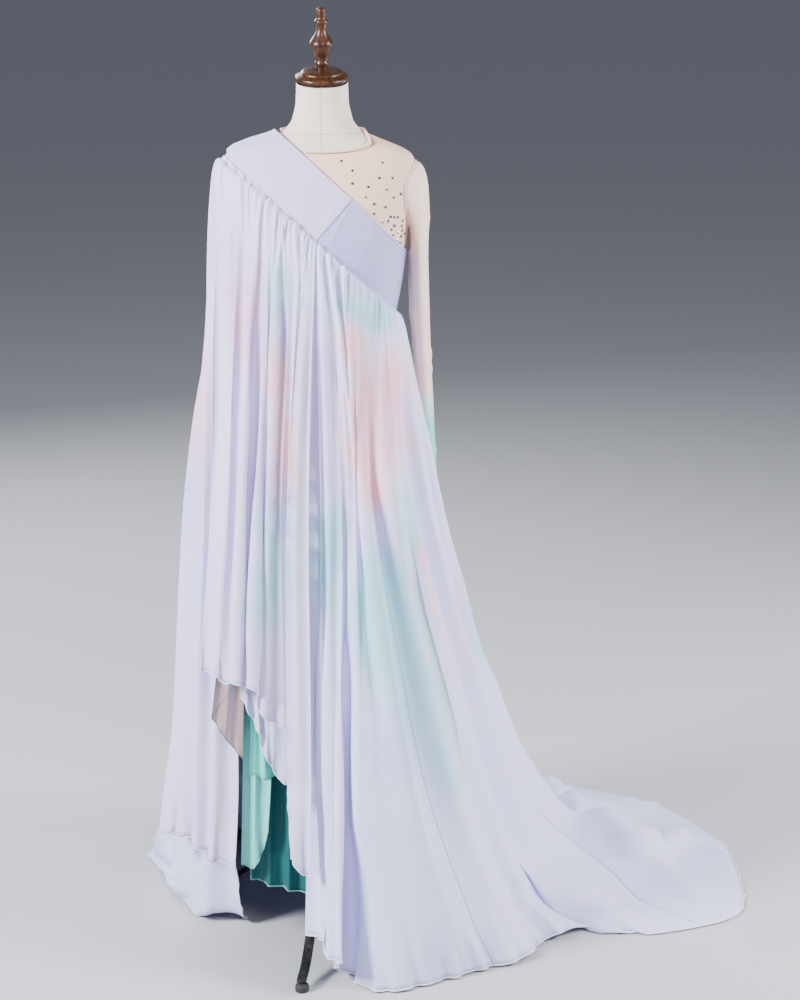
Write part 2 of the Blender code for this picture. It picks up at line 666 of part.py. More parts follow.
def neck_binding():
    angle = np.linspace(-math.pi / 2, 3 * math.pi / 2, 41)
    points = lifted(angle, neckline(angle) + BINDING_RADIUS + 0.0004, BINDING_RADIUS + GAP)
    points = points[points @ SASH_ACROSS > SASH_HIGH + 2.5 * BINDING_RADIUS]
    curve = bpy.data.curves.new("neck_binding", "CURVE")
    curve.dimensions = "3D"
    curve.bevel_depth = BINDING_RADIUS
    curve.bevel_resolution = 1
    curve.use_fill_caps = True
    line = curve.splines.new("POLY")
    line.points.add(len(points) - 1)
    for target, p in zip(line.points, points):
        target.co = (*p, 1)
    made = bpy.data.objects.new("neck_binding", curve)
    curve.materials.append(nude_mesh)
    gown.objects.link(made)


neck_binding()


def sleeve(name, side, y_column, stand, columns=12):
    """A flat empty tube from the armhole, out over the shoulder's end and down to the cuff."""
    turn = np.linspace(0, 2 * math.pi, columns, endpoint=False)
    first = SLEEVE_SECTIONS[0]
    hole_z = ARMHOLE_Z + (ARMHOLE_HALF_HEIGHT - 3 * ARMHOLE_SEAM) * np.cos(turn)
    hole_y = -(ARMHOLE_HALF_DEPTH - ARMHOLE_SEAM) * np.sin(turn)
    hole = np.stack([np.full(columns, 0.13), hole_y, hole_z], -1)
    for _ in range(60):
        distance, _ = form_distance(hole)
        hole[:, 0] += np.clip(BODYSUIT_LIFT - distance, -0.004, 0.004)
    below = np.stack(
        [
            first[1] + first[2] * np.cos(turn),
            first[y_column] - first[3] * np.sin(turn),
            np.full(columns, first[0]),
        ],
        -1,
    )
    out = np.stack([stand * (1 + 0.7 * np.cos(turn)), 0 * turn, -0.004 + 0 * turn], -1)
    rise = np.stack([0 * turn, 0 * turn, 0.030 + 0.030 * np.cos(turn)], -1)
    loops = []
    for t in (0, 0.12, 0.3, 0.55, 0.8):
        a, b = hole + out, below + rise
        loops.append((1 - t) ** 3 * hole + 3 * t * (1 - t) ** 2 * a + 3 * t**2 * (1 - t) * b + t**3 * below)
    for section in SLEEVE_SECTIONS:
        x = section[1] + section[2] * np.cos(turn)
        y = section[y_column] - section[3] * np.sin(turn)
        loops.append(np.stack([x, y, np.full(columns, section[0])], -1))
    loops = np.array(loops)
    loops[1:] = off_form(loops[1:], BODYSUIT_LIFT + GAP + MESH_CLOTH)
    if side < 0:
        loops = (loops * np.array([-1, 1, 1]))[:, ::-1]
    wall(name, loops, nude_mesh, MESH_CLOTH, closed=True)


sleeve("sleeve_right", 1, 4, 0.020)
sleeve("sleeve_left", -1, 5, 0.008)


# Dress form
def form_body(columns=28):
    levels = (HIPS_BOTTOM, *BODY_LEVELS, NECKLINE_SIDE, TILT_FROM, 1.530, NECK_TOP)
    angle = np.linspace(0, 2 * math.pi, columns, endpoint=False)
    rings = np.array([lifted(angle, np.full(columns, z), -FORM_INSET * (z < TILT_FROM)) for z in levels])
    share = np.clip((rings[..., 2] - TILT_FROM) / (NECK_TOP - TILT_FROM), 0, 1)
    rings[..., 2] += share * math.tan(NECK_TILT) * rings[..., 1]
    faces = [tuple(range(columns))[::-1]]
    for i in range(len(levels) - 1):
        for j in range(columns):
            k = (j + 1) % columns
            faces.append((i * columns + j, i * columns + k, (i + 1) * columns + k, (i + 1) * columns + j))
    faces.append(tuple((len(levels) - 1) * columns + j for j in range(columns)))
    mesh = bpy.data.meshes.new("form_body")
    mesh.from_pydata([tuple(p) for p in rings.reshape(-1, 3)], [], faces)
    mesh.update()
    mesh.shade_smooth()
    return place("form_body", mesh, linen)


form_body()


def turned(name, profile, finish, steps, location):
    """A turned piece: its profile, top to bottom at +X, swept round the slanting axis."""
    mesh = bpy.data.meshes.new(name)
    points = [(r, 0, h) for r, h in reversed(profile)]
    mesh.from_pydata(points, [(i, i + 1) for i in range(len(points) - 1)], [])
    made = place(name, mesh, finish)
    screw = made.modifiers.new("turning", "SCREW")
    screw.steps = steps
    screw.render_steps = steps
    screw.use_merge_vertices = True
    screw.merge_threshold = 0.0001
    made.location = location
    made.rotation_euler = (NECK_TILT, 0, 0)
    return made


UP_THE_CAP = np.array([0, -math.sin(NECK_TILT), math.cos(NECK_TILT)])
cap_foot = np.array([0, 0, NECK_TOP]) + GAP * UP_THE_CAP
finial_foot = cap_foot + (CAP_PROFILE[-1][1] + GAP) * UP_THE_CAP
turned("neck_cap", CAP_PROFILE, walnut, 20, cap_foot)
turned("finial", FINIAL_PROFILE, walnut, 12, finial_foot)


# Stand
def cylinder(name, radius, bottom, top, x, y, finish, sides=20):
    bpy.ops.mesh.primitive_cylinder_add(
        vertices=sides, radius=radius, depth=top - bottom, location=(x, y, (top + bottom) / 2)
    )
    return move_to_gown(bpy.context.object, name, finish)


cylinder("pole", POLE_RADIUS, HUB_Z + HUB_HEIGHT / 2 + GAP, HIPS_BOTTOM - GAP, 0, 0, black_steel)
cylinder("hub", HUB_RADIUS, HUB_Z - HUB_HEIGHT / 2, HUB_Z + HUB_HEIGHT / 2, 0, 0, black_steel)


def leg(number, bearing):
    """A bent tube from the hub's side down to its foot."""
    away = np.array([math.cos(math.radians(bearing)), math.sin(math.radians(bearing)), 0])
    start = HUB_RADIUS + 2 * GAP
    level = FOOT_HEIGHT + GAP + LEG_RADIUS
    bends = ((start, HUB_Z), (0.052, 0.149), (0.100, 0.130), (0.175, 0.082), (0.245, 0.034))
    bends = (*bends, (LEG_REACH - 0.4 * FOOT_BACK, level))
    curve = bpy.data.curves.new(f"leg_{number}", "CURVE")
    curve.dimensions = "3D"
    curve.bevel_depth = LEG_RADIUS
    curve.bevel_resolution = 2
    curve.use_fill_caps = True
    line = curve.splines.new("POLY")
    route = spline([r * away + np.array([0, 0, z]) for r, z in bends], steps=2)
    line.points.add(len(route) - 1)
    for target, p in zip(line.points, route):
        target.co = (*p, 1)
    made = bpy.data.objects.new(f"leg_{number}", curve)
    curve.materials.append(black_steel)
    gown.objects.link(made)
    foot = away * (LEG_REACH - FOOT_BACK)
    cylinder(f"foot_{number}", FOOT_RADIUS, 0, FOOT_HEIGHT, foot[0], foot[1], rubber, sides=16)


for number, bearing in enumerate(LEG_BEARINGS, start=1):
    leg(number, bearing)


# The origin goes under the middle of the whole object's box
bpy.context.view_layer.update()
graph = bpy.context.evaluated_depsgraph_get()
low, high = np.full(3, 1e9), np.full(3, -1e9)
for made in gown.objects:
    evaluated = made.evaluated_get(graph)
    mesh = evaluated.to_mesh()
    turn = np.array(made.matrix_world)
    points = np.array([v.co for v in mesh.vertices]) @ turn[:3, :3].T + turn[:3, 3]
    low, high = np.minimum(low, points.min(0)), np.maximum(high, points.max(0))
    evaluated.to_mesh_clear()
shift = -(low + high) / 2
for made in gown.objects:
    made.location.x += shift[0]
    made.location.y += shift[1]
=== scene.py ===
"""The looks of a dance gown on its dress form and tripod stand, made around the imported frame.

Metres, +Z up, the front towards -Y. Shapes are worked out round the stand's pole, with +X to the
viewer's right, and moved by AXIS to where the pole stands in the frame.
"""

import math

import bpy
import numpy as np
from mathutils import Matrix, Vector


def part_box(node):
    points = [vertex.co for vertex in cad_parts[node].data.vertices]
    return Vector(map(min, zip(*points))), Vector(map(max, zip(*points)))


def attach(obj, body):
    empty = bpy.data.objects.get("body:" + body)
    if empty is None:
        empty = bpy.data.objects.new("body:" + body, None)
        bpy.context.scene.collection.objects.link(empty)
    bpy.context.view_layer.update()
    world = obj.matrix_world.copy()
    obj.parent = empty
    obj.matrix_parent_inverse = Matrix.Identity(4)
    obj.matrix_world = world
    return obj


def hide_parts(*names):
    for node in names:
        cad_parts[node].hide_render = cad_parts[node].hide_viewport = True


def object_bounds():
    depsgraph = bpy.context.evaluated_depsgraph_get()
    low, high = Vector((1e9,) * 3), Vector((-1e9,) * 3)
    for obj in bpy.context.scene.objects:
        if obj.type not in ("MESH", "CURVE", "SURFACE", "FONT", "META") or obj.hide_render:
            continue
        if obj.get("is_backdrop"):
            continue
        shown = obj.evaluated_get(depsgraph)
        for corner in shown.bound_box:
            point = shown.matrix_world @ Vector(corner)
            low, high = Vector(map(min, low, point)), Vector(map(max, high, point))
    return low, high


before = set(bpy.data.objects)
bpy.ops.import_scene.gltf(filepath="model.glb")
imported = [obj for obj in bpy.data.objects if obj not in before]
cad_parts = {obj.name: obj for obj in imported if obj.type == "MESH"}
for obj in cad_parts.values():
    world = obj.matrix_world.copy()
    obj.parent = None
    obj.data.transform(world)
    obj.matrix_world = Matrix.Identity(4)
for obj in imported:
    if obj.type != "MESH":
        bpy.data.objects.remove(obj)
cad_low, cad_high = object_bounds()

# Camera, floor and light
# The photograph looks down a little at the gown from about four metres, upright and through a
# long lens. The floor is one pale sheet, and large soft lamps stand round the gown.
pole_low, pole_high = (np.array(corner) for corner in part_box("pole"))
AXIS = np.array([(pole_low[0] + pole_high[0]) / 2, (pole_low[1] + pole_high[1]) / 2, 0.0])
CAMERA_FROM_AXIS = np.array([0.1348, -4.2, 1.85])
CAMERA_DOWN = math.radians(13.72)
CAMERA_LENS, SENSOR_HEIGHT = 86.33, 36.0

camera = bpy.data.objects.new("camera", bpy.data.cameras.new("camera"))
bpy.context.scene.collection.objects.link(camera)
camera.location = AXIS + CAMERA_FROM_AXIS
camera.rotation_euler = (math.pi / 2 - CAMERA_DOWN, 0, 0)
camera.data.sensor_fit = "VERTICAL"
camera.data.sensor_height = SENSOR_HEIGHT
camera.data.lens = CAMERA_LENS
bpy.context.scene.camera = camera


def add_node(tree, kind, inputs=(), **settings):
    """Adds a node, and gives each named input its value or its link."""
    made = tree.nodes.new(kind)
    for key, value in settings.items():
        setattr(made, key, value)
    for key, value in dict(inputs).items():
        if isinstance(value, bpy.types.NodeSocket):
            tree.links.new(value, made.inputs[key])
        else:
            made.inputs[key].default_value = value
    return made


def new_finish(name, colour, roughness, **others):
    """A material, with its shader's sockets set by name, _ for a space."""
    made = bpy.data.materials.new(name)
    made.use_nodes = True
    shader = made.node_tree.nodes["Principled BSDF"]
    shader.inputs["Base Color"].default_value = (*colour, 1)
    shader.inputs["Roughness"].default_value = roughness
    for key, value in others.items():
        shader.inputs[key.replace("_", " ")].default_value = value
    return made, made.node_tree, shader


FLOOR_COLOUR, FLOOR_ROUGHNESS = (0.50, 0.51, 0.54), 0.85
FLOOR_RADIUS, FLOOR_DROP = 120.0, 0.0005
bpy.ops.mesh.primitive_circle_add(
    vertices=96, radius=FLOOR_RADIUS, fill_type="NGON", location=(0, 0, -FLOOR_DROP)
)
floor = bpy.context.object
floor.name = "studio_floor"
floor.data.materials.append(new_finish("studio_paper", FLOOR_COLOUR, FLOOR_ROUGHNESS)[0])
floor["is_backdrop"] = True

WORLD_COLOUR, WORLD_STRENGTH = (0.55, 0.58, 0.69, 1), 0.36
world = bpy.data.worlds.new("studio")
bpy.context.scene.world = world
world.use_nodes = True
background = world.node_tree.nodes["Background"]
background.inputs["Color"].default_value = WORLD_COLOUR
background.inputs["Strength"].default_value = WORLD_STRENGTH

# Columns: name, place from the axis, what it aims at, side of the square, watts, colour
LAMPS = (
    ("left_lamp", (-2.5, -1.7, 2.4), (-0.05, 0, 1.2), 0.9, 330, (0.97, 0.98, 1.0)),
    ("right_lamp", (2.7, -0.8, 2.3), (0.15, 0, 1.2), 0.9, 150, (1.0, 0.98, 0.98)),
    ("low_lamp", (3.0, 1.2, 0.9), (0.4, 0.1, 0.1), 0.7, 60, (0.98, 0.98, 1.0)),
    ("front_lamp", (0.9, -4.0, 3.2), (0.1, 0, 1.2), 1.4, 70, (1.0, 0.98, 0.99)),
    ("back_lamp", (-1.6, 3.3, 2.6), (0.1, 0, 0.8), 1.6, 125, (0.95, 0.97, 1.0)),
)
for name, place, aim, side, watts, colour in LAMPS:
    lamp = bpy.data.objects.new(name, bpy.data.lights.new(name, "AREA"))
    bpy.context.scene.collection.objects.link(lamp)
    lamp.location = AXIS + np.array(place)
    away = np.array(place) - np.array(aim)
    lean = math.atan2(math.hypot(away[0], away[1]), away[2])
    lamp.rotation_euler = (lean, 0, math.atan2(away[0], -away[1]))
    lamp.data.size = side
    lamp.data.energy = watts
    lamp.data.color = colour


# Tripod stand
# Black painted steel: a pole up into the form, a turned hub, and three flat bent bars with
# rubber tips. A dome rivet holds each bar's tip.
def finish_piece(made, slot, *nodes):
    """Each finished piece rides on the part's one body and takes the place of its solids."""
    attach(made, "root")
    if nodes:
        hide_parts(*nodes)
    return made


def mesh_piece(name, points, faces, finish, sharp=None):
    """A smooth mesh at the origin, from points given round the pole's axis."""
    mesh = bpy.data.meshes.new(name)
    mesh.from_pydata((np.asarray(points) + AXIS).tolist(), [], faces)
    mesh.shade_smooth()
    if sharp:
        mesh.set_sharp_from_angle(angle=math.radians(sharp))
    mesh.materials.append(finish)
    made = bpy.data.objects.new(name, mesh)
    bpy.context.scene.collection.objects.link(made)
    return made


def tube_faces(rings, around):
    """Faces between closed rings of points, with a face over each end."""
    faces = [list(range(around))[::-1]]
    for i in range(rings - 1):
        for j in range(around):
            k = (j + 1) % around
            faces.append([i * around + j, i * around + k, (i + 1) * around + k, (i + 1) * around + j])
    faces.append([(rings - 1) * around + j for j in range(around)])
    return faces


def turned_piece(name, profile, finish, place=(0, 0, 0), tilt=0.0, around=48):
    """Radius and height pairs, bottom to top, swept round an upright or tilted axis."""
    turn = np.linspace(0, 2 * math.pi, around, endpoint=False)
    rings = np.array([[(r * math.cos(t), r * math.sin(t), h) for t in turn] for r, h in profile])
    s, c = math.sin(tilt), math.cos(tilt)
    lean = np.array([[1, 0, 0], [0, c, -s], [0, s, c]])
    points = rings.reshape(-1, 3) @ lean.T + np.asarray(place)
    return mesh_piece(name, points, tube_faces(len(profile), around), finish, sharp=50)


def smooth_between(a, b, c, d, t):
    """From b at t = 0 to c at t = 1, on a smooth curve that a and d lie on too."""
    slope_b, slope_c = (c - a) / 2, (d - b) / 2
    blend = (2 * t**3 - 3 * t**2 + 1) * b + (t**3 - 2 * t**2 + t) * slope_b
    return blend + (3 * t**2 - 2 * t**3) * c + (t**3 - t**2) * slope_c


def spline(points, steps=12):
    """A smooth curve through the points."""
    points = np.asarray(points, float)
    ends = np.concatenate([[2 * points[0] - points[1]], points, [2 * points[-1] - points[-2]]])
    t = np.linspace(0, 1, steps, endpoint=False).reshape(-1, *([1] * (points.ndim - 1)))
    runs = [smooth_between(*four, t) for four in zip(ends, ends[1:], ends[2:], ends[3:])]
    return np.concatenate(runs + [points[-1:]])


def shader_group(name, inputs, outputs):
    """A shader node group whose first input is a vector, with its input node."""
    tree = bpy.data.node_groups.new(name, "ShaderNodeTree")
    tree.interface.new_socket("Vector", in_out="INPUT", socket_type="NodeSocketVector")
    for socket in inputs:
        tree.interface.new_socket(socket, in_out="INPUT", socket_type="NodeSocketFloat")
    for socket in outputs:
        tree.interface.new_socket(socket, in_out="OUTPUT", socket_type="NodeSocketFloat")
    return tree, add_node(tree, "NodeGroupInput").outputs


def scuff_group():
    """Uneven fine rubbing and dust, as a mask from 0 to 1."""
    tree, given = shader_group("fine_scuffs", ["Scale"], ["Mask"])
    sizes = {"Vector": given["Vector"], "Scale": given["Scale"], "Detail": 6.0}
    broad = add_node(tree, "ShaderNodeTexNoise", sizes).outputs["Fac"]
    limits = {"Value": broad, "From Min": 0.45, "From Max": 0.75}
    sharp = add_node(tree, "ShaderNodeMapRange", limits).outputs["Result"]
    add_node(tree, "NodeGroupOutput", {"Mask": sharp})
    return tree


SCUFFS = scuff_group()


def scuffed(tree, shader, scale, low, high):
    """Lets the scuffs change a shader's roughness between two values."""
    place = add_node(tree, "ShaderNodeTexCoord")
    placed = {"Vector": place.outputs["Object"], "Scale": scale}
    scuffs = add_node(tree, "ShaderNodeGroup", placed, node_tree=SCUFFS)
    limits = {"Value": scuffs.outputs["Mask"], "To Min": low, "To Max": high}
    spread = add_node(tree, "ShaderNodeMapRange", limits)
    tree.links.new(spread.outputs["Result"], shader.inputs["Roughness"])
    return scuffs


WHOLE_PAINT, RUBBED_PAINT = (0.012, 0.012, 0.014), (0.045, 0.043, 0.042)
black_steel, steel_tree, steel_shader = new_finish(
    "black_painted_steel", (0.014, 0.014, 0.016), 0.35, Metallic=0.3, Specular_IOR_Level=0.5
)
steel_scuffs = scuffed(steel_tree, steel_shader, 60.0, 0.28, 0.55)
steel_colour = add_node(steel_tree, "ShaderNodeMix", data_type="RGBA")
steel_colour.inputs["A"].default_value = (*WHOLE_PAINT, 1)
steel_colour.inputs["B"].default_value = (*RUBBED_PAINT, 1)
steel_tree.links.new(steel_scuffs.outputs["Mask"], steel_colour.inputs["Factor"])
steel_tree.links.new(steel_colour.outputs["Result"], steel_shader.inputs["Base Color"])
black_rubber, rubber_tree, rubber_shader = new_finish("black_rubber", (0.028, 0.028, 0.030), 0.75)
scuffed(rubber_tree, rubber_shader, 140.0, 0.65, 0.9)

FORM_BOTTOM = 0.770
TOUCHING = 0.0003
POLE_RADIUS = 0.0125
HUB_Z, HUB_HALF = 0.150, 0.025
# Columns of every turned profile: radius, height
POLE_PROFILE = ((POLE_RADIUS, HUB_Z + HUB_HALF + TOUCHING), (POLE_RADIUS, FORM_BOTTOM - TOUCHING))
HUB_PROFILE = (
    (0.021, 0.125), (0.024, 0.128), (0.024, 0.162), (0.022, 0.164), (0.022, 0.172), (0.019, 0.175),
)
TIP_PROFILE = ((0.0115, 0.0), (0.0125, 0.001), (0.0125, 0.009), (0.0112, 0.0125), (0.0085, 0.0140))
RIVET_PROFILE = ((0.0034, 0.0), (0.0032, 0.0008), (0.0022, 0.0015), (0.0008, 0.0018))
finish_piece(turned_piece("stand_pole", POLE_PROFILE, black_steel), "black_steel", "pole")
finish_piece(turned_piece("stand_hub", HUB_PROFILE, black_steel), "black_steel", "hub")

BAR_WIDTH, BAR_THICKNESS, BAR_CORNER = 0.0175, 0.0085, 0.0022
# A bar's bends from the hub to the floor: distance out, height
BAR_BENDS = (
    (0.0252, 0.150), (0.052, 0.149), (0.100, 0.130), (0.175, 0.082), (0.245, 0.034), (0.292, 0.0215),
)
LEG_BEARINGS = (-97.7, 22.3, 142.3)
TIP_REACH = 0.286
RIVET_AT, RIVET_SUNK = -9, 0.0002
ARC = ((1, 0), (0.7, 0.7), (0, 1))
for number, bearing in enumerate(LEG_BEARINGS, start=1):
    away = np.array([math.cos(math.radians(bearing)), math.sin(math.radians(bearing)), 0])
    side = np.array([-away[1], away[0], 0])
    route = spline([r * away + np.array([0, 0, z]) for r, z in BAR_BENDS], steps=6)
    tangent = np.gradient(route, axis=0)
    tangent /= np.linalg.norm(tangent, axis=1)[:, None]
    rise = np.cross(side, tangent)
    rise *= np.sign(rise[:, 2])[:, None]
    half_w, half_t = BAR_WIDTH / 2, BAR_THICKNESS / 2
    outline = []
    for turn_x, turn_z in ((1, 1), (-1, 1), (-1, -1), (1, -1)):
        for a, b in ARC[::-1] if turn_x * turn_z < 0 else ARC:
            x = turn_x * (half_w - BAR_CORNER + BAR_CORNER * a)
            outline.append((x, turn_z * (half_t - BAR_CORNER + BAR_CORNER * b)))
    rings = [p + side * x + up * z for p, up in zip(route, rise) for x, z in outline]
    faces = tube_faces(len(route), len(outline))
    leg = mesh_piece(f"stand_bar_{number}", rings, faces, black_steel, sharp=40)
    finish_piece(leg, "black_steel", f"leg_{number}")
    tip = turned_piece(f"stand_tip_{number}", TIP_PROFILE, black_rubber, away * TIP_REACH)
    finish_piece(tip, "black_rubber", f"foot_{number}")
    rivet_place = route[RIVET_AT] + rise[RIVET_AT] * (half_t - RIVET_SUNK)
    rivet = turned_piece(f"stand_rivet_{number}", RIVET_PROFILE, black_steel, rivet_place, around=16)
    finish_piece(rivet, "black_steel")


# Dress form
# A padded body without limbs, covered in cream linen jersey with a seam down the middle of the
# front and of the back, and closed at the hips by a flat base that the pole goes into.
# Columns: z, half width, depth in front, depth behind
FORM_SECTIONS = (
    (0.770, 0.144, 0.088, 0.098),
    (0.860, 0.155, 0.094, 0.108),
    (0.920, 0.147, 0.092, 0.104),
    (1.000, 0.126, 0.088, 0.088),
    (1.080, 0.111, 0.086, 0.078),
    (1.150, 0.119, 0.097, 0.080),
    (1.200, 0.129, 0.109, 0.086),
    (1.250, 0.138, 0.118, 0.091),
    (1.300, 0.146, 0.114, 0.094),
    (1.350, 0.154, 0.101, 0.093),
    (1.400, 0.160, 0.085, 0.087),
    (1.430, 0.161, 0.073, 0.079),
    (1.446, 0.154, 0.066, 0.073),
    (1.456, 0.137, 0.064, 0.070),
    (1.468, 0.105, 0.061, 0.067),
    (1.481, 0.073, 0.057, 0.063),
    (1.500, 0.055, 0.052, 0.056),
    (1.530, 0.047, 0.048, 0.051),
    (1.570, 0.0455, 0.047, 0.050),
)
NECK_TOP = 1.570
NECK_TILT = math.radians(11)
TILT_FROM = 1.500
ROUNDNESS = 2.2
FINE_Z = np.linspace(FORM_BOTTOM, NECK_TOP, 401)


def fine_column(column):
    """One column of the sections at every fine height, with its corners eased."""
    z, value = np.array(FORM_SECTIONS)[:, 0], np.array(FORM_SECTIONS)[:, column]
    padded = np.pad(np.interp(FINE_Z, z, value), 3, mode="edge")
    return np.convolve(padded, np.ones(7) / 7, mode="valid")


HALF_WIDTH, FRONT, BACK = fine_column(1), fine_column(2), fine_column(3)


def form_point(angle, z):
    """A point of the form's surface: angle from the front towards +X, in radians."""
    power = 2 / ROUNDNESS
    s, c = np.sin(angle), np.cos(angle)
    depth = np.where(c > 0, np.interp(z, FINE_Z, FRONT), np.interp(z, FINE_Z, BACK))
    x = np.interp(z, FINE_Z, HALF_WIDTH) * np.sign(s) * np.abs(s) ** power
    y = -depth * np.sign(c) * np.abs(c) ** power
    return np.stack(np.broadcast_arrays(x, y, z), axis=-1)


def form_field(p):
    """Below 0 inside the form and above 0 outside."""
    x, y, z = p[..., 0], p[..., 1], p[..., 2]
    deep = np.where(y < 0, np.interp(z, FINE_Z, FRONT), np.interp(z, FINE_Z, BACK))
    total = np.abs(x / np.interp(z, FINE_Z, HALF_WIDTH)) ** ROUNDNESS + np.abs(y / deep) ** ROUNDNESS
    return total ** (1 / ROUNDNESS) - 1


def form_distance(p):
    """About how far p lies outside the form, and the direction away from it."""
    step = 5e-4
    slope = np.stack(
        [form_field(p + step * axis) - form_field(p - step * axis) for axis in np.eye(3)], axis=-1
    ) / (2 * step)
    size = np.linalg.norm(slope, axis=-1)
    return form_field(p) / size, slope / size[..., None]


def off_form(p, lift):
    """Moves points outwards, where they lie nearer the form than lift."""
    p = np.array(p, float)
    for _ in range(4):
        distance, away = form_distance(p)
        short = np.clip(lift - distance, 0, None) * (p[..., 2] > FORM_BOTTOM)
        p = p + short[..., None] * away
    return p


def lifted(angle, z, lift):
    """A point that lies outside the form by lift."""
    p = form_point(angle, z)
    return p + np.asarray(lift)[..., None] * form_distance(p)[1]


def weave_group():
    """Plain weave: warp over weft, from a map in metres. Puts out its height and a slub shade."""
    tree, given = shader_group("plain_weave", ["Threads"], ["Height", "Slub"])
    threads = {0: given["Threads"], 1: math.pi}
    turns = add_node(tree, "ShaderNodeMath", threads, operation="MULTIPLY").outputs[0]
    spaced = {0: given["Vector"], "Scale": turns}
    scaled = add_node(tree, "ShaderNodeVectorMath", spaced, operation="SCALE").outputs[0]
    split = add_node(tree, "ShaderNodeSeparateXYZ", {0: scaled}).outputs
    warp = add_node(tree, "ShaderNodeMath", {0: split["X"]}, operation="SINE").outputs[0]
    weft = add_node(tree, "ShaderNodeMath", {0: split["Y"]}, operation="SINE").outputs[0]
    over = add_node(tree, "ShaderNodeMath", {0: warp, 1: weft}, operation="MULTIPLY").outputs[0]
    drawn_out = {0: given["Vector"], 1: (900.0, 60.0, 60.0)}
    stretched = add_node(tree, "ShaderNodeVectorMath", drawn_out, operation="MULTIPLY").outputs[0]
    slub = add_node(tree, "ShaderNodeTexNoise", {"Vector": stretched, "Scale": 1.0, "Detail": 2.0})
    add_node(tree, "NodeGroupOutput", {"Height": over, "Slub": slub.outputs["Fac"]})
    return tree


WEAVE = weave_group()


def shade_colour(tree, shader, colour, shade, low, high):
    """Darkens and lightens a shader's colour, which is a value or a socket, by a shade."""
    limits = {"Value": shade, "To Min": low, "To Max": high}
    spread = add_node(tree, "ShaderNodeMapRange", limits).outputs["Result"]
    tint = add_node(tree, "ShaderNodeMix", {"Factor": 1.0}, data_type="RGBA", blend_type="MULTIPLY")
    if isinstance(colour, bpy.types.NodeSocket):
        tree.links.new(colour, tint.inputs["A"])
    else:
        tint.inputs["A"].default_value = (*colour, 1)
    tree.links.new(spread, tint.inputs["B"])
    tree.links.new(tint.outputs["Result"], shader.inputs["Base Color"])


def woven(tree, shader, colour, threads, depth, strength, slub_low, slub_high):
    """Gives a shader a weave's bump, and lets its slubs shade the colour. colour is a socket or a value."""
    place = add_node(tree, "ShaderNodeUVMap", uv_map="cloth")
    weave = add_node(
        tree, "ShaderNodeGroup", {"Vector": place.outputs["UV"], "Threads": threads}, node_tree=WEAVE
    )
    pressed = {"Height": weave.outputs["Height"], "Strength": strength, "Distance": depth}
    bump = add_node(tree, "ShaderNodeBump", pressed)
    tree.links.new(bump.outputs["Normal"], shader.inputs["Normal"])
    shade_colour(tree, shader, colour, weave.outputs["Slub"], slub_low, slub_high)
    return bump


def run_along(points):
    """How far along a line each of its points lies."""
    steps = np.linalg.norm(np.diff(points, axis=0), axis=-1)
    return np.concatenate([np.zeros((1, *steps.shape[1:])), np.cumsum(steps, axis=0)])


def grid_piece(name, grid, finish, thickness=0.0, closed=False, colours=None):
    """Cloth through a grid of points on its outer face, with a map in metres of its own cloth."""
    down, across = grid.shape[:2]
    ring = np.concatenate([grid, grid[:, :1]], axis=1) if closed else grid
    along_u = run_along(ring.transpose(1, 0, 2)).mean(1)
    along_v = run_along(grid).mean(1)
    i, j = np.meshgrid(np.arange(down - 1), np.arange(across if closed else across - 1), indexing="ij")
    i, j = i.ravel(), j.ravel()
    k = (j + 1) % across
    faces = np.stack([i * across + j, (i + 1) * across + j, (i + 1) * across + k, i * across + k], axis=1)
    u = np.stack([along_u[j], along_u[j], along_u[j + 1], along_u[j + 1]], axis=1)
    v = -np.stack([along_v[i], along_v[i + 1], along_v[i + 1], along_v[i]], axis=1)
    made = mesh_piece(name, grid.reshape(-1, 3), faces.tolist(), finish)
    layer = made.data.uv_layers.new(name="cloth")
    layer.data.foreach_set("uv", np.stack([u, v], axis=-1).astype(np.float32).ravel())
    if colours is not None:
        rgba = np.concatenate([colours.reshape(-1, 3), np.ones((down * across, 1))], axis=1)
        dye = made.data.color_attributes.new(name="dye", type="FLOAT_COLOR", domain="POINT")
        dye.data.foreach_set("color", rgba.astype(np.float32).ravel())
    if thickness:
        solid = made.modifiers.new("thickness", "SOLIDIFY")
        solid.thickness = thickness
        solid.offset = -1
    return made


def plain_finish(name, colour, roughness, scale, low, high, **others):
    """A material of one colour, with fine scuffs in its roughness."""
    made, tree, shader = new_finish(name, colour, roughness, **others)
    scuffed(tree, shader, scale, low, high)
    return made


# Columns of every weave: threads in a metre, depth and strength of its bump, darkest and lightest slub
LINEN_WEAVE = (900.0, 0.0002, 0.35, 0.93, 1.05)
linen, linen_tree, linen_shader = new_finish(
    "cream_linen_jersey", (0.78, 0.68, 0.58), 0.85, Sheen_Weight=0.2
)
woven(linen_tree, linen_shader, (0.79, 0.69, 0.59), *LINEN_WEAVE)
seam_thread = plain_finish("linen_seam", (0.60, 0.50, 0.41), 0.8, 500.0, 0.7, 0.9)

FORM_SKIN = -0.0009
SEAM_DEPTH, SEAM_NARROWNESS = 0.0010, 40
body_levels = np.linspace(FORM_BOTTOM, TILT_FROM, 92)
form_levels = np.concatenate([body_levels, np.linspace(TILT_FROM, NECK_TOP, 14)[1:]])
form_angles = np.linspace(0, 2 * math.pi, 120, endpoint=False)
form_turns, form_heights = np.meshgrid(form_angles, form_levels)
form_grid = lifted(form_turns, form_heights, FORM_SKIN)
seam = np.exp(-((np.abs(np.sin(form_angles)) * SEAM_NARROWNESS) ** 2)) * SEAM_DEPTH
form_grid -= seam[None, :, None] * form_distance(form_grid)[1]
lean_share = np.clip((form_grid[..., 2] - TILT_FROM) / (NECK_TOP - TILT_FROM), 0, 1)
form_grid[..., 2] += lean_share * math.tan(NECK_TILT) * form_grid[..., 1]
form = grid_piece("form_cover", form_grid[::-1], linen, closed=True)
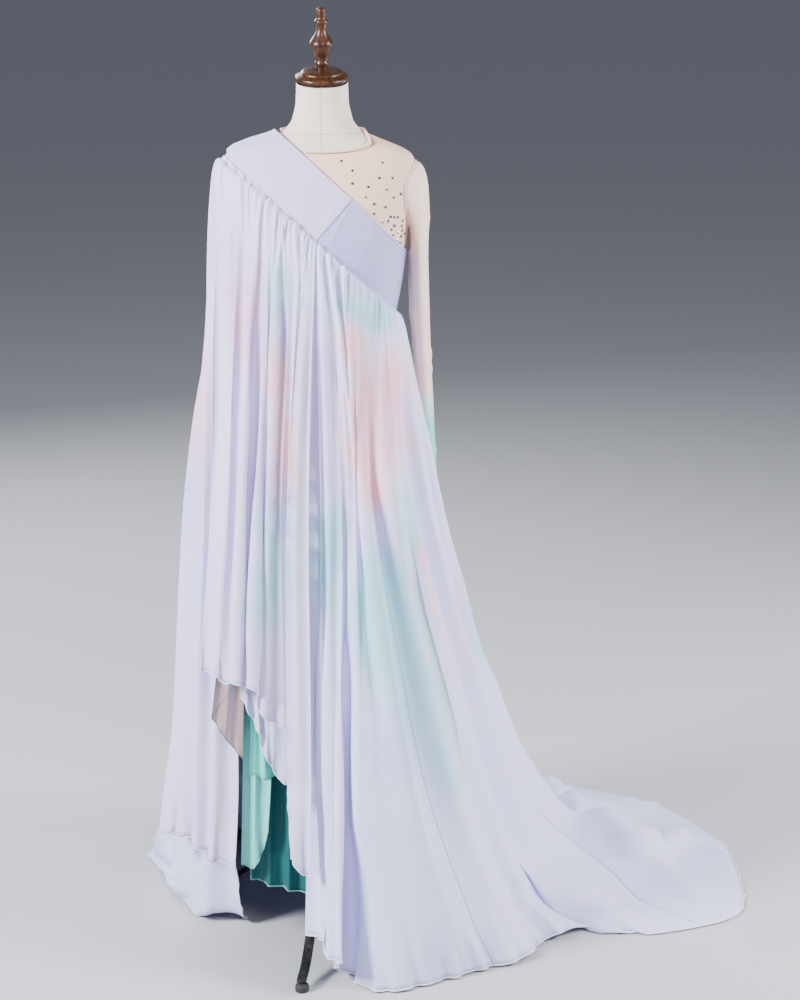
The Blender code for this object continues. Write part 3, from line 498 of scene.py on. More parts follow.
finish_piece(form, "cream_linen", "form_body")
base_ring = [tuple(p) for p in form_grid[0]]
base = mesh_piece("form_base", base_ring, [list(range(len(base_ring)))[::-1]], linen)
base.data.uv_layers.new(name="cloth")
finish_piece(base, "cream_linen")

# Neck cap and finial
# Turned from one dark walnut blank each, stained, varnished and screwed on the slanting neck.
# Heights in both profiles run up the slanting axis.
CAP_PROFILE = (
    (0.0400, 0.0000), (0.0440, 0.0012), (0.0462, 0.0040), (0.0465, 0.0070), (0.0452, 0.0105),
    (0.0420, 0.0122), (0.0382, 0.0128), (0.0364, 0.0140), (0.0362, 0.0160), (0.0352, 0.0182),
    (0.0320, 0.0194), (0.0120, 0.0205),
)
FINIAL_PROFILE = (
    (0.0108, 0.0000), (0.0104, 0.0070), (0.0112, 0.0083), (0.0122, 0.0105), (0.0120, 0.0130),
    (0.0104, 0.0150), (0.0106, 0.0200), (0.0126, 0.0250), (0.0152, 0.0300), (0.0176, 0.0360),
    (0.0192, 0.0410), (0.0194, 0.0422), (0.0203, 0.0430), (0.0206, 0.0445), (0.0202, 0.0475),
    (0.0185, 0.0510), (0.0160, 0.0545), (0.0128, 0.0590), (0.0104, 0.0640), (0.0088, 0.0690),
    (0.0081, 0.0740), (0.0082, 0.0785), (0.0108, 0.0805), (0.0116, 0.0825), (0.0114, 0.0850),
    (0.0092, 0.0872), (0.0078, 0.0890), (0.0076, 0.0920), (0.0077, 0.1035), (0.0070, 0.1057),
    (0.0058, 0.1065),
)
CAP_HEIGHT = 0.0208
UP_THE_CAP = np.array([0, -math.sin(NECK_TILT), math.cos(NECK_TILT)])
cap_foot = np.array([0, 0, NECK_TOP]) + TOUCHING * UP_THE_CAP
finial_foot = cap_foot + CAP_HEIGHT * UP_THE_CAP

# The grain's dark and light colours, each with its place on the ramp
GRAIN_COLOURS = ((0.32, (0.010, 0.004, 0.0025)), (0.72, (0.085, 0.027, 0.007)))
GRAIN_STRETCH = (90.0, 90.0, 9.0)


def set_ramp(ramp, stops):
    """Gives a colour ramp its places and colours."""
    for number, (stop, colour) in enumerate(stops):
        element = ramp.elements[number] if number < 2 else ramp.elements.new(stop)
        element.position = stop
        element.color = (*colour, 1)


walnut, walnut_tree, walnut_shader = new_finish(
    "varnished_walnut", (0.09, 0.03, 0.012), 0.38,
    Coat_Weight=0.1, Coat_Roughness=0.25, Specular_IOR_Level=0.3,
)
walnut_place = add_node(walnut_tree, "ShaderNodeTexCoord").outputs["Object"]
stretched = add_node(walnut_tree, "ShaderNodeMapping", {"Vector": walnut_place, "Scale": GRAIN_STRETCH})
figure = {"Vector": stretched.outputs[0], "Scale": 1.0, "Detail": 8.0, "Distortion": 1.5}
walnut_figure = add_node(walnut_tree, "ShaderNodeTexNoise", figure)
walnut_ramp = add_node(walnut_tree, "ShaderNodeValToRGB", {"Fac": walnut_figure.outputs["Fac"]})
set_ramp(walnut_ramp.color_ramp, GRAIN_COLOURS)
walnut_tree.links.new(walnut_ramp.outputs["Color"], walnut_shader.inputs["Base Color"])
scuffed(walnut_tree, walnut_shader, 45.0, 0.34, 0.40)
cap = turned_piece("neck_cap_turned", CAP_PROFILE, walnut, cap_foot, NECK_TILT, around=72)
finish_piece(cap, "walnut", "neck_cap")
finial = turned_piece("finial_turned", FINIAL_PROFILE, walnut, finial_foot, NECK_TILT, around=48)
finish_piece(finial, "walnut", "finial")

# Bodysuit
# Fine nude stretch mesh, cut as a front and a back, joined down the sides and over the shoulders.
# It is pulled tight over the form, up to a crew neckline.
NECKLINE_SIDE = 1.481
NECKLINE_FRONT_DROP = 0.030
ARMHOLE_Z, ARMHOLE_HALF_HEIGHT, ARMHOLE_HALF_DEPTH = 1.375, 0.060, 0.047
BODYSUIT_HEM = 0.800
SHOULDER_Z, NECK_SHAPE_FROM = 1.30, 1.36
BODYSUIT_LIFT = 0.0014
MESH_CLOTH = 0.0005
# The least share of its flat rectangle that a piece of cloth's area is taken to be
LEAST_SHARE = 0.31


def cut_of(grid):
    """The cloth's greatest width and length along its folds, and its area."""
    wide = np.linalg.norm(np.diff(grid, axis=1), axis=-1)
    long = np.linalg.norm(np.diff(grid, axis=0), axis=-1)
    a, b = grid[1:, 1:] - grid[:-1, :-1], grid[1:, :-1] - grid[:-1, 1:]
    area = float(np.linalg.norm(np.cross(a, b), axis=-1).sum() / 2)
    return (float(wide.sum(1).max()), float(long.sum(0).max())), area


def cloth_sheet(grid):
    (width, length), area = cut_of(grid)
    area = min(max(area, LEAST_SHARE * width * length), width * length)


def neckline(angle):
    """The height of the crew neckline's edge round the neck."""
    front = np.clip(np.cos(angle), 0, 1)
    return NECKLINE_SIDE - NECKLINE_FRONT_DROP * front**1.5


def side_edge(z):
    """How far from the side seam the panel ends: the armhole's half depth, or next to nothing."""
    reach = 1 - ((z - ARMHOLE_Z) / ARMHOLE_HALF_HEIGHT) ** 2
    return ARMHOLE_HALF_DEPTH * math.sqrt(max(reach, 0)) + 0.0001


NUDE_WEAVE = (1500.0, 0.0002, 0.3, 0.96, 1.03)
nude_mesh, nude_tree, nude_shader = new_finish(
    "nude_stretch_mesh", (0.86, 0.71, 0.62), 0.62, Sheen_Weight=0.1, Sheen_Roughness=0.5, Alpha=0.93
)
woven(nude_tree, nude_shader, (0.94, 0.64, 0.51), *NUDE_WEAVE)

upper_levels = np.linspace(NECKLINE_SIDE, SHOULDER_Z, 46)
suit_levels = np.concatenate([upper_levels, np.linspace(SHOULDER_Z, BODYSUIT_HEM, 50)[1:]])
for node, front, depths in (("bodysuit_front", True, FRONT), ("bodysuit_back", False, BACK)):
    rows = []
    for level in suit_levels:
        deep = float(np.interp(level, FINE_Z, depths))
        reach = math.acos(min(side_edge(level) / deep, 1) ** (ROUNDNESS / 2))
        angle = np.linspace(-reach, reach, 73)
        drop = (NECKLINE_SIDE - neckline(angle)) if front else np.zeros(len(angle))
        share = min(max((level - NECK_SHAPE_FROM) / (NECKLINE_SIDE - NECK_SHAPE_FROM), 0), 1)
        turn = angle if front else angle + math.pi
        rows.append(lifted(turn, level - drop * share, BODYSUIT_LIFT))
    rows = np.array(rows)
    made = grid_piece(f"{node}_mesh", rows, nude_mesh, MESH_CLOTH)
    finish_piece(made, "nude_mesh", node)
    cloth_sheet(rows)

# Neck binding
# A narrow tube of the same mesh, folded over the raw neck edge and topstitched close to it. It
# runs under the band at the left shoulder.
BINDING_RADIUS = 0.0026


def grown_piece(name, mesh, tree, **values):
    """Grows a node tree's result from a mesh, and keeps it as a plain mesh."""
    made = bpy.data.objects.new(name, mesh)
    bpy.context.scene.collection.objects.link(made)
    grown = made.modifiers.new("grown", "NODES")
    grown.node_group = tree
    for item in tree.interface.items_tree:
        if item.in_out == "INPUT" and item.name in values:
            grown[item.identifier] = values[item.name]
    whole = bpy.data.meshes.new_from_object(made.evaluated_get(bpy.context.evaluated_depsgraph_get()))
    made.modifiers.remove(grown)
    made.data = whole
    whole.name = name
    return made


def route_piece(name, route, radius, finish, tree, **values):
    """Grows a node tree's result along a route of points."""
    route = np.asarray(route) + AXIS
    mesh = bpy.data.meshes.new(name)
    mesh.from_pydata(route.tolist(), [(i, i + 1) for i in range(len(route) - 1)], [])
    return grown_piece(name, mesh, tree, Radius=radius, Finish=finish, **values)


def new_growth(name, *sockets):
    """A geometry node tree with these inputs besides its shape and finish."""
    tree = bpy.data.node_groups.new(name, "GeometryNodeTree")
    tree.interface.new_socket("Geometry", in_out="INPUT", socket_type="NodeSocketGeometry")
    for name, value in (("Radius", 0.001), *sockets):
        socket = tree.interface.new_socket(name, in_out="INPUT", socket_type="NodeSocketFloat")
        socket.default_value = value
    tree.interface.new_socket("Finish", in_out="INPUT", socket_type="NodeSocketMaterial")
    tree.interface.new_socket("Geometry", in_out="OUTPUT", socket_type="NodeSocketGeometry")
    return tree, add_node(tree, "NodeGroupInput")


def end_growth(tree, given, shape, smooth=True):
    """Makes a tree's instances real, and gives its result the finish."""
    real = add_node(tree, "GeometryNodeRealizeInstances", {"Geometry": shape}).outputs[0]
    looks = {"Geometry": real, "Shade Smooth": smooth}
    shaded = add_node(tree, "GeometryNodeSetShadeSmooth", looks).outputs[0]
    looks = {"Geometry": shaded, "Material": given.outputs["Finish"]}
    finished = add_node(tree, "GeometryNodeSetMaterial", looks).outputs[0]
    add_node(tree, "NodeGroupOutput", {"Geometry": finished})
    return tree


def set_on_points(tree, points, shape, facing, scale):
    """One shape on each point, its Z along facing."""
    turned = add_node(tree, "FunctionNodeAlignRotationToVector", {"Vector": facing}, axis="Z")
    given = {"Points": points, "Instance": shape, "Rotation": turned.outputs[0], "Scale": scale}
    return add_node(tree, "GeometryNodeInstanceOnPoints", given).outputs[0]


def rolled_edge_tree():
    """A narrow rolled edge: a round tube along the route."""
    tree, given = new_growth("rolled_edge")
    path = add_node(tree, "GeometryNodeMeshToCurve", {"Mesh": given.outputs["Geometry"]}).outputs[0]
    round_section = {"Resolution": 7, "Radius": given.outputs["Radius"]}
    section = add_node(tree, "GeometryNodeCurvePrimitiveCircle", round_section).outputs[0]
    swept = {"Curve": path, "Profile Curve": section, "Fill Caps": True}
    return end_growth(tree, given, add_node(tree, "GeometryNodeCurveToMesh", swept).outputs[0])


def stitch_tree():
    """Stitches: short round-ended lengths of thread at an even pitch along the route."""
    tree, given = new_growth("stitches", ("Pitch", 0.003), ("Length", 0.002))
    radius = given.outputs["Radius"]
    path = add_node(tree, "GeometryNodeMeshToCurve", {"Mesh": given.outputs["Geometry"]}).outputs[0]
    pitched = {"Curve": path, "Length": given.outputs["Pitch"]}
    spaced = add_node(tree, "GeometryNodeResampleCurve", pitched, mode="LENGTH").outputs[0]
    thread = add_node(tree, "GeometryNodeMeshUVSphere", {"Segments": 6, "Rings": 4, "Radius": 1.0})
    halved = {0: given.outputs["Length"], 1: 0.5}
    half = add_node(tree, "ShaderNodeMath", halved, operation="MULTIPLY").outputs[0]
    size = add_node(tree, "ShaderNodeCombineXYZ", {"X": radius, "Y": radius, "Z": half}).outputs[0]
    tangent = add_node(tree, "GeometryNodeInputTangent").outputs[0]
    return end_growth(tree, given, set_on_points(tree, spaced, thread.outputs[0], tangent, size))


ROLLED_EDGE = rolled_edge_tree()
STITCHES = stitch_tree()

SASH_ACROSS = np.array([0.675, 0.0995, 0.731])
SASH_ALONG = np.array([0.735, 0.0, -0.678])
SASH_HIGH = 1.0320
BINDING_CLEAR, BINDING_ABOVE = 0.0003, 0.0004
binding_angle = np.linspace(-math.pi / 2, 3 * math.pi / 2, 161)
binding_z = neckline(binding_angle) + BINDING_RADIUS + BINDING_ABOVE
binding = lifted(binding_angle, binding_z, BINDING_RADIUS + BINDING_CLEAR)
binding = binding[binding @ SASH_ACROSS > SASH_HIGH + 2.5 * BINDING_RADIUS]
bound = route_piece("neck_binding_tube", binding, BINDING_RADIUS, nude_mesh, ROLLED_EDGE)
finish_piece(bound, "nude_mesh", "neck_binding")
nude_thread = plain_finish("nude_thread", (0.84, 0.58, 0.47), 0.6, 900.0, 0.45, 0.75)
NECK_STITCH, NECK_STITCH_PITCH, NECK_STITCH_LENGTH = 0.00032, 0.0036, 0.0026
binding_away = form_distance(binding)[1]
binding_line = binding + binding_away * (BINDING_RADIUS * 0.92) - np.array([0, 0, 0.0009])
binding_stitches = route_piece(
    "neck_binding_stitches", binding_line, NECK_STITCH, nude_thread, STITCHES,
    Pitch=NECK_STITCH_PITCH, Length=NECK_STITCH_LENGTH,
)
finish_piece(binding_stitches, "nude_mesh")

# Two seams of the form's own cover show over the binding, up the neck and round its foot
NECK_SEAM_Z, NECK_SEAM_REACH, NECK_SEAM_RADIUS = 1.484, 1.05, 0.00055
over_binding = form_grid[:, 0, 2] > NECKLINE_SIDE - NECKLINE_FRONT_DROP
front_seam = form_grid[over_binding, 0] + np.array([0, -0.0004, 0])
seam_angle = np.linspace(-NECK_SEAM_REACH, NECK_SEAM_REACH, 41)
round_seam = lifted(seam_angle, np.full(41, NECK_SEAM_Z), FORM_SKIN + TOUCHING)
for name, route in (("form_neck_front_seam", front_seam), ("form_neck_round_seam", round_seam)):
    made = route_piece(name, route, NECK_SEAM_RADIUS, seam_thread, ROLLED_EDGE)
    finish_piece(made, "cream_linen")

# Sleeves
# Slim long sleeves of the same mesh, set into the armholes and hanging empty. Mint dye is drawn
# up from each cuff, and dark beads are sewn close to it.
# Columns: z, centre x, half width, half depth, right sleeve's y, left sleeve's y
SLEEVE_SECTIONS = (
    (1.270, 0.1665, 0.0175, 0.048, 0.010, 0.000),
    (1.180, 0.1690, 0.0175, 0.047, 0.030, -0.006),
    (1.080, 0.1745, 0.0155, 0.042, 0.048, -0.012),
    (1.000, 0.1805, 0.0140, 0.038, 0.060, -0.016),
    (0.920, 0.1855, 0.0128, 0.034, 0.070, -0.020),
    (0.845, 0.1905, 0.0120, 0.030, 0.075, -0.024),
)
ARMHOLE_SEAM = 0.0016
ARMHOLE_X = 0.13
# How far down the sleeve's head each of its loops lies, from 0 at the armhole to 1
HEAD_LOOPS = (0, 0.06, 0.12, 0.2, 0.3, 0.42, 0.55, 0.68, 0.8, 0.9)
SLEEVE_CLEAR = BODYSUIT_LIFT + MESH_CLOTH + 0.0006
# Creases of a sleeve. Columns: height, slant in metres of height, depth, half width, facing in degrees
SLEEVE_CREASES = (
    (1.330, 0.012, -0.0022, 0.009, 20),
    (1.262, -0.016, -0.0018, 0.008, 200),
    (1.150, 0.014, -0.0016, 0.009, 120),
    (1.098, -0.018, -0.0024, 0.008, 300),
    (1.070, 0.016, -0.0020, 0.007, 60),
    (1.041, -0.014, -0.0016, 0.007, 240),
    (0.968, 0.012, -0.0014, 0.007, 150),
    (0.905, -0.010, -0.0016, 0.006, 330),
    (0.881, 0.009, -0.0013, 0.005, 90),
)


def bump_at(value, middle, half_width):
    """A smooth bump, 1 at the middle and soon 0 beyond its half width."""
    return np.exp(-(((value - middle) / half_width) ** 2))


def outward_normals(grid, closed=False):
    """The direction away from the form at each point of a grid."""
    down = np.gradient(grid, axis=0)
    if closed:
        across = (np.roll(grid, -1, axis=1) - np.roll(grid, 1, axis=1)) / 2
    else:
        across = np.gradient(grid, axis=1)
    normal = np.cross(down, across)
    return normal / (np.linalg.norm(normal, axis=-1)[..., None] + 1e-12)


def sleeve_grid(side, y_column, stand, columns=64):
    """A sleeve's outer face: loops from the armhole down to the cuff, standing off by stand."""
    turn = np.linspace(0, 2 * math.pi, columns, endpoint=False)
    hole_z = ARMHOLE_Z + (ARMHOLE_HALF_HEIGHT - ARMHOLE_SEAM) * np.cos(turn)
    hole_y = -(ARMHOLE_HALF_DEPTH - ARMHOLE_SEAM / 2) * np.sin(turn)
    hole = np.stack([np.full(columns, ARMHOLE_X), hole_y, hole_z], -1)
    for _ in range(60):
        hole[:, 0] += np.clip(BODYSUIT_LIFT - form_distance(hole)[0], -0.004, 0.004)
    sections = []
    for section in SLEEVE_SECTIONS:
        x = section[1] + section[2] * np.cos(turn)
        y = section[y_column] - section[3] * np.sin(turn)
        sections.append(np.stack([x, y, np.full(columns, section[0])], -1))
    below = sections[0]
    out = np.stack([stand * (1 + 0.7 * np.cos(turn)), 0 * turn, -0.004 + 0 * turn], -1)
    rise = np.stack([0 * turn, 0 * turn, 0.030 + 0.030 * np.cos(turn)], -1)
    a, b = hole + out, below + rise
    loops = []
    for t in HEAD_LOOPS:
        s = 1 - t
        loops.append(s**3 * hole + 3 * t * s**2 * a + 3 * t**2 * s * b + t**3 * below)
    grid = np.concatenate([np.array(loops), spline(np.array(sections), steps=14)])
    away = outward_normals(grid, closed=True)
    crease = np.zeros(grid.shape[:2])
    for height, slant, depth, width, facing in SLEEVE_CREASES:
        face = np.cos(turn - math.radians(facing))
        level = height + slant * np.sin(turn - math.radians(facing))
        crease += depth * bump_at(grid[..., 2], level, width) * np.clip(0.4 + face, 0, None)
    grid = grid + away * crease[..., None]
    grid[1:] = off_form(grid[1:], SLEEVE_CLEAR)
    return grid if side > 0 else (grid * np.array([-1, 1, 1]))[:, ::-1]


# The sleeve's dye between these heights, from the cuff up: each colour with its place
DYE_FROM_Z, DYE_TO_Z = 0.86, 1.12
SLEEVE_DYES = (
    (0.0, (0.10, 0.60, 0.50)), (0.42, (0.22, 0.72, 0.62)), (0.62, (0.60, 0.84, 0.78)),
    (0.80, (1.0, 0.75, 0.66)),
)
SLEEVE_WEAVE = (1500.0, 0.0002, 0.3, 0.95, 1.03)
sleeve_mesh, sleeve_tree, sleeve_shader = new_finish(
    "dip_dyed_nude_mesh", (0.86, 0.71, 0.62), 0.6, Sheen_Weight=0.1, Sheen_Roughness=0.5, Alpha=0.86
)
sleeve_place = add_node(sleeve_tree, "ShaderNodeTexCoord").outputs["Object"]
bleed = add_node(sleeve_tree, "ShaderNodeTexNoise", {"Vector": sleeve_place, "Scale": 28.0}).outputs["Fac"]
height = add_node(sleeve_tree, "ShaderNodeSeparateXYZ", {0: sleeve_place}).outputs["Z"]
drift = add_node(sleeve_tree, "ShaderNodeMath", {0: bleed, 1: 0.05, 2: height}, operation="MULTIPLY_ADD")
limits = {"Value": drift.outputs[0], "From Min": DYE_FROM_Z, "From Max": DYE_TO_Z}
sleeve_share = add_node(sleeve_tree, "ShaderNodeMapRange", limits)
sleeve_dye = add_node(sleeve_tree, "ShaderNodeValToRGB", {"Fac": sleeve_share.outputs["Result"]})
sleeve_dye.color_ramp.interpolation = "EASE"
set_ramp(sleeve_dye.color_ramp, SLEEVE_DYES)
woven(sleeve_tree, sleeve_shader, sleeve_dye.outputs["Color"], *SLEEVE_WEAVE)

# Columns: node, side, the sections' column for its y, how far its head stands off
SLEEVES = (("sleeve_right", 1, 4, 0.020), ("sleeve_left", -1, 5, 0.008))
CUFF_EDGE, ARMHOLE_EDGE = 0.0009, 0.0022
for node, side, y_column, stand in SLEEVES:
    grid = sleeve_grid(side, y_column, stand)
    made = grid_piece(f"{node}_mesh", grid, sleeve_mesh, MESH_CLOTH, closed=True)
    finish_piece(made, "nude_mesh", node)
    cloth_sheet(np.concatenate([grid, grid[:, :1]], axis=1))
    cuff = np.concatenate([grid[-1], grid[-1][:1]]) + np.array([0, 0, 0.0004])
    edge = route_piece(f"{node}_cuff_edge", cuff, CUFF_EDGE, sleeve_mesh, ROLLED_EDGE)
    finish_piece(edge, "nude_mesh")
    ring = np.concatenate([grid[0], grid[0][:1]])
    seam_line = ring + 0.0006 * form_distance(ring)[1]
    seam_edge = route_piece(f"{node}_armhole_seam", seam_line, ARMHOLE_EDGE, sleeve_mesh, ROLLED_EDGE)
    finish_piece(seam_edge, "nude_mesh")

# Rhinestones and cuff beads
# Flat-backed crystals glued to the mesh beside the band, sparse above and dense beside its edge,
# and dark green beads near the cuffs. Each is a low faceted dome.
# Columns: x and z on the bodysuit's front in millimetres, and size
CRYSTALS = (
    (34, 1439, 1.0), (53, 1423, 1.0), (53, 1402, 1.1), (104, 1435, 0.9), (99, 1410, 1.1),
    (121, 1409, 1.0), (80, 1396, 1.1), (111, 1390, 1.0), (135, 1381, 1.2), (76, 1379, 0.9),
    (123, 1376, 1.0), (90, 1367, 1.2), (109, 1361, 1.1), (90, 1351, 1.0), (118, 1344, 1.2),
    (124, 1343, 1.0), (130, 1342, 1.1), (114, 1337, 1.1), (104, 1336, 0.9), (124, 1328, 1.3),
    (130, 1316, 1.3), (135, 1308, 1.2), (128, 1303, 1.3), (136, 1326, 1.0), (137, 1318, 1.1),
    (119, 1322, 1.0), (138, 1335, 1.0), (141, 1311, 1.2), (133, 1297, 1.1), (122, 1312, 1.0),
)


def stone_tree():
    """A faceted low dome on each point, flat side down."""
    tree, given = new_growth("set_stones")
    dome = add_node(tree, "GeometryNodeMeshIcoSphere", {"Radius": 1.0, "Subdivisions": 1}).outputs[0]
    named = "GeometryNodeInputNamedAttribute"
    facing = add_node(tree, named, {"Name": "facing"}, data_type="FLOAT_VECTOR").outputs[0]
    size = add_node(tree, named, {"Name": "size"}, data_type="FLOAT").outputs[0]
    sized = {0: size, 1: given.outputs["Radius"]}
    wide = add_node(tree, "ShaderNodeMath", sized, operation="MULTIPLY").outputs[0]
    tall = add_node(tree, "ShaderNodeMath", {0: wide, 1: 0.6}, operation="MULTIPLY").outputs[0]
    scale = add_node(tree, "ShaderNodeCombineXYZ", {"X": wide, "Y": wide, "Z": tall}).outputs[0]
    placed = set_on_points(tree, given.outputs["Geometry"], dome, facing, scale)
    return end_growth(tree, given, placed, smooth=False)


STONES = stone_tree()


def stones_piece(name, points, facings, sizes, radius, finish):
    """Sets a stone of its own size on each point."""
    mesh = bpy.data.meshes.new(name)
    mesh.from_pydata((np.asarray(points) + AXIS).tolist(), [], [])
    facing = mesh.attributes.new("facing", "FLOAT_VECTOR", "POINT")
    facing.data.foreach_set("vector", np.asarray(facings, np.float32).ravel())
    size = mesh.attributes.new("size", "FLOAT", "POINT")
    size.data.foreach_set("value", np.asarray(sizes, np.float32))
    return finish_piece(grown_piece(name, mesh, STONES, Radius=radius, Finish=finish), "nude_mesh")


def front_point(x, z, lift):
    """The point on the front of the form, lifted, whose x and z are about these."""
    share = np.clip(np.abs(x) / np.interp(z, FINE_Z, HALF_WIDTH), 0, 0.999)
    return lifted(np.arcsin(share ** (ROUNDNESS / 2)) * np.sign(x), z, lift)


def glint_finish(name, colour, metallic):
    """Cut glass: glossy, with painted glints and shade: small cells of lighter and darker colour, for the
    light its facets catch.
    """
    made, tree, shader = new_finish(
        name, colour, 0.08, Metallic=metallic, Coat_Weight=1.0, Coat_Roughness=0.02
    )
    place = add_node(tree, "ShaderNodeTexCoord").outputs["Object"]
    # Painted glints: cells of lighter and darker colour across each stone, as its facets catch the lamps
    facet_glint_cells = add_node(tree, "ShaderNodeTexVoronoi", {"Vector": place, "Scale": 420.0})
    shade_colour(tree, shader, colour, facet_glint_cells.outputs["Distance"], 0.55, 1.2)
    return made


CRYSTAL_RADIUS, CRYSTAL_LIFT = 0.0026, 0.0006
BEAD_RADIUS, BEAD_LIFT, BEADS = 0.0015, 0.0005, 22
crystal = glint_finish("smoky_crystal", (0.17, 0.20, 0.25), 0.7)
green_bead = glint_finish("dark_green_bead", (0.02, 0.16, 0.13), 0.5)
stones = np.array(CRYSTALS)
places = front_point(stones[:, 0] / 1000, stones[:, 1] / 1000, BODYSUIT_LIFT + CRYSTAL_LIFT)
facings = form_distance(places)[1]
stones_piece("bodice_crystals", places, facings, stones[:, 2], CRYSTAL_RADIUS, crystal)
draw = np.random.default_rng(11)
for node, side, y_column, stand in SLEEVES:
    grid = sleeve_grid(side, y_column, stand)
    rows = draw.integers(len(grid) - 15, len(grid) - 3, BEADS)
    columns = draw.integers(0, grid.shape[1], BEADS)
    facings = outward_normals(grid, closed=True)[rows, columns]
    places = grid[rows, columns] + BEAD_LIFT * facings
    sizes = draw.uniform(0.7, 1.2, BEADS)
    stones_piece(f"{node}_cuff_beads", places, facings, sizes, BEAD_RADIUS, green_bead)

# Band
# A slanting band of white crepe-backed satin, in two front pieces and a back piece. Its edges
# are folded under and topstitched, and it has pressed creases from lying folded.
SASH_BACKWARDS = np.cross(SASH_ACROSS, SASH_ALONG)
SASH_LOW = 0.9405
SASH_MIDDLE = (-0.908, -0.094)
SASH_LIFT, SASH_REACH = 0.0051, 0.40
SATIN_CLOTH = 0.0012
SHOULDER_AT, SHOULDER_SPREAD = 270, 16.0
SHOULDER_RISE = 0.005


def round_sash(degrees, across, lift):
    """A point on the form where the band's plane at `across` meets the ray at this angle."""
    turn = np.radians(degrees)
    outwards = np.sin(turn)[..., None] * SASH_ALONG - np.cos(turn)[..., None] * SASH_BACKWARDS
    middle = np.asarray(across)[..., None] * SASH_ACROSS
    middle = middle + SASH_MIDDLE[0] * SASH_ALONG + SASH_MIDDLE[1] * SASH_BACKWARDS
    near = np.zeros(outwards.shape[:-1])
    far = np.full(outwards.shape[:-1], SASH_REACH)
    for _ in range(26):
        half = (near + far) / 2
        inside = form_distance(middle + half[..., None] * outwards)[0] < lift
        near = np.where(inside, half, near)
        far = np.where(inside, far, half)
    return middle + far[..., None] * outwards


def shoulder_rise(degrees):
    """The band and what hangs from it bridge the left shoulder's end a little."""
    return SHOULDER_RISE * bump_at(np.asarray(degrees), SHOULDER_AT, SHOULDER_SPREAD)


SATIN_WEAVE = (1100.0, 0.00022, 0.6, 0.92, 1.04)


def satin_finish(name, colour, roughness, specular):
    """Crepe-backed satin, its dull side out."""
    made, tree, shader = new_finish(
        name, (0.80, 0.79, 0.88), roughness,
        Sheen_Weight=0.08, Sheen_Roughness=0.35, Specular_IOR_Level=specular,
    )
    woven(tree, shader, colour, *SATIN_WEAVE)
    return made


satin = satin_finish("white_crepe_satin", (0.62, 0.56, 0.88), 0.48, 0.45)
# The lower front piece takes a copy of the satin with painted shade: its colour is darker and bluer, as
# where the band turns away from the lamps.
shaded_satin = satin_finish("white_crepe_satin_painted_shade", (0.42, 0.41, 0.76), 0.42, 0.5)
white_thread = plain_finish("white_thread", (0.82, 0.80, 0.94), 0.5, 900.0, 0.4, 0.7)

# Pressed creases. Columns: from and to in degrees round the band, share of its width there, height
SASH_CREASES = (
    (-3.0, 5.5, 0.82, 0.25, 0.0012),
    (9.0, 16.0, 0.90, 0.10, 0.0011),
    (-36.0, -30.0, 0.06, 0.95, 0.0006),
    (-60.0, -57.0, 0.95, 0.05, 0.0005),
    (34.0, 41.0, 0.95, 0.05, 0.0006),
    (72.0, 70.0, 0.05, 0.95, 0.0006),
    (128.0, 133.0, 0.05, 0.95, 0.0007),
    (171.0, 166.0, 0.05, 0.95, 0.0006),
    (214.0, 220.0, 0.95, 0.10, 0.0006),
    (246.0, 243.0, 0.05, 0.90, 0.0005),
)


def sash_grid(first, last):
    """The band's outer face between two angles: folded edges, slack cloth and pressed creases."""
    degrees = np.linspace(first, last, int(abs(last - first) / 0.75))
    upper_edge, lower_edge = [1, 0.985, 0.965, 0.95, 0.935], [0.065, 0.05, 0.035, 0.015, 0]
    share = np.concatenate([upper_edge, np.linspace(0.92, 0.08, 30), lower_edge])
    edge = np.minimum(share, 1 - share)
    rim = 0.0009 * bump_at(edge, 0.018, 0.016) - 0.0005 * bump_at(edge, 0.052, 0.010)
    turn, width = np.meshgrid(degrees, share)
    lift = SASH_LIFT + shoulder_rise(turn) + rim[:, None]
    wide = np.where(turn > 180, turn - 360, turn)
    slack = 0.0007 * np.sin(np.radians(turn * 5 + 20)) + 0.0005 * np.sin(np.radians(turn * 11))
    slack = np.sin(np.pi * width) * slack
    for start, end, low, high, height in SASH_CREASES:
        along_line = (width - low) / (high - low)
        centre = start + (end - start) * along_line
        off = (wide - (centre if start <= 180 else centre - 360)) * 0.0022
        inside = np.clip(along_line * 12, 0, 1) * np.clip((1 - along_line) * 12, 0, 1)
        slack += height * np.exp(-((off / 0.0028) ** 2)) * inside
    return round_sash(turn, SASH_LOW + width * (SASH_HIGH - SASH_LOW), lift + slack)


def sash_line(name, line, off, radius, finish=satin, tree=ROLLED_EDGE, **values):
    """A fold or a row of stitches along a line on the band, set off its face."""
    route = line + off * form_distance(line)[1]
    finish_piece(route_piece(name, route, radius, finish, tree, **values), "white_satin")


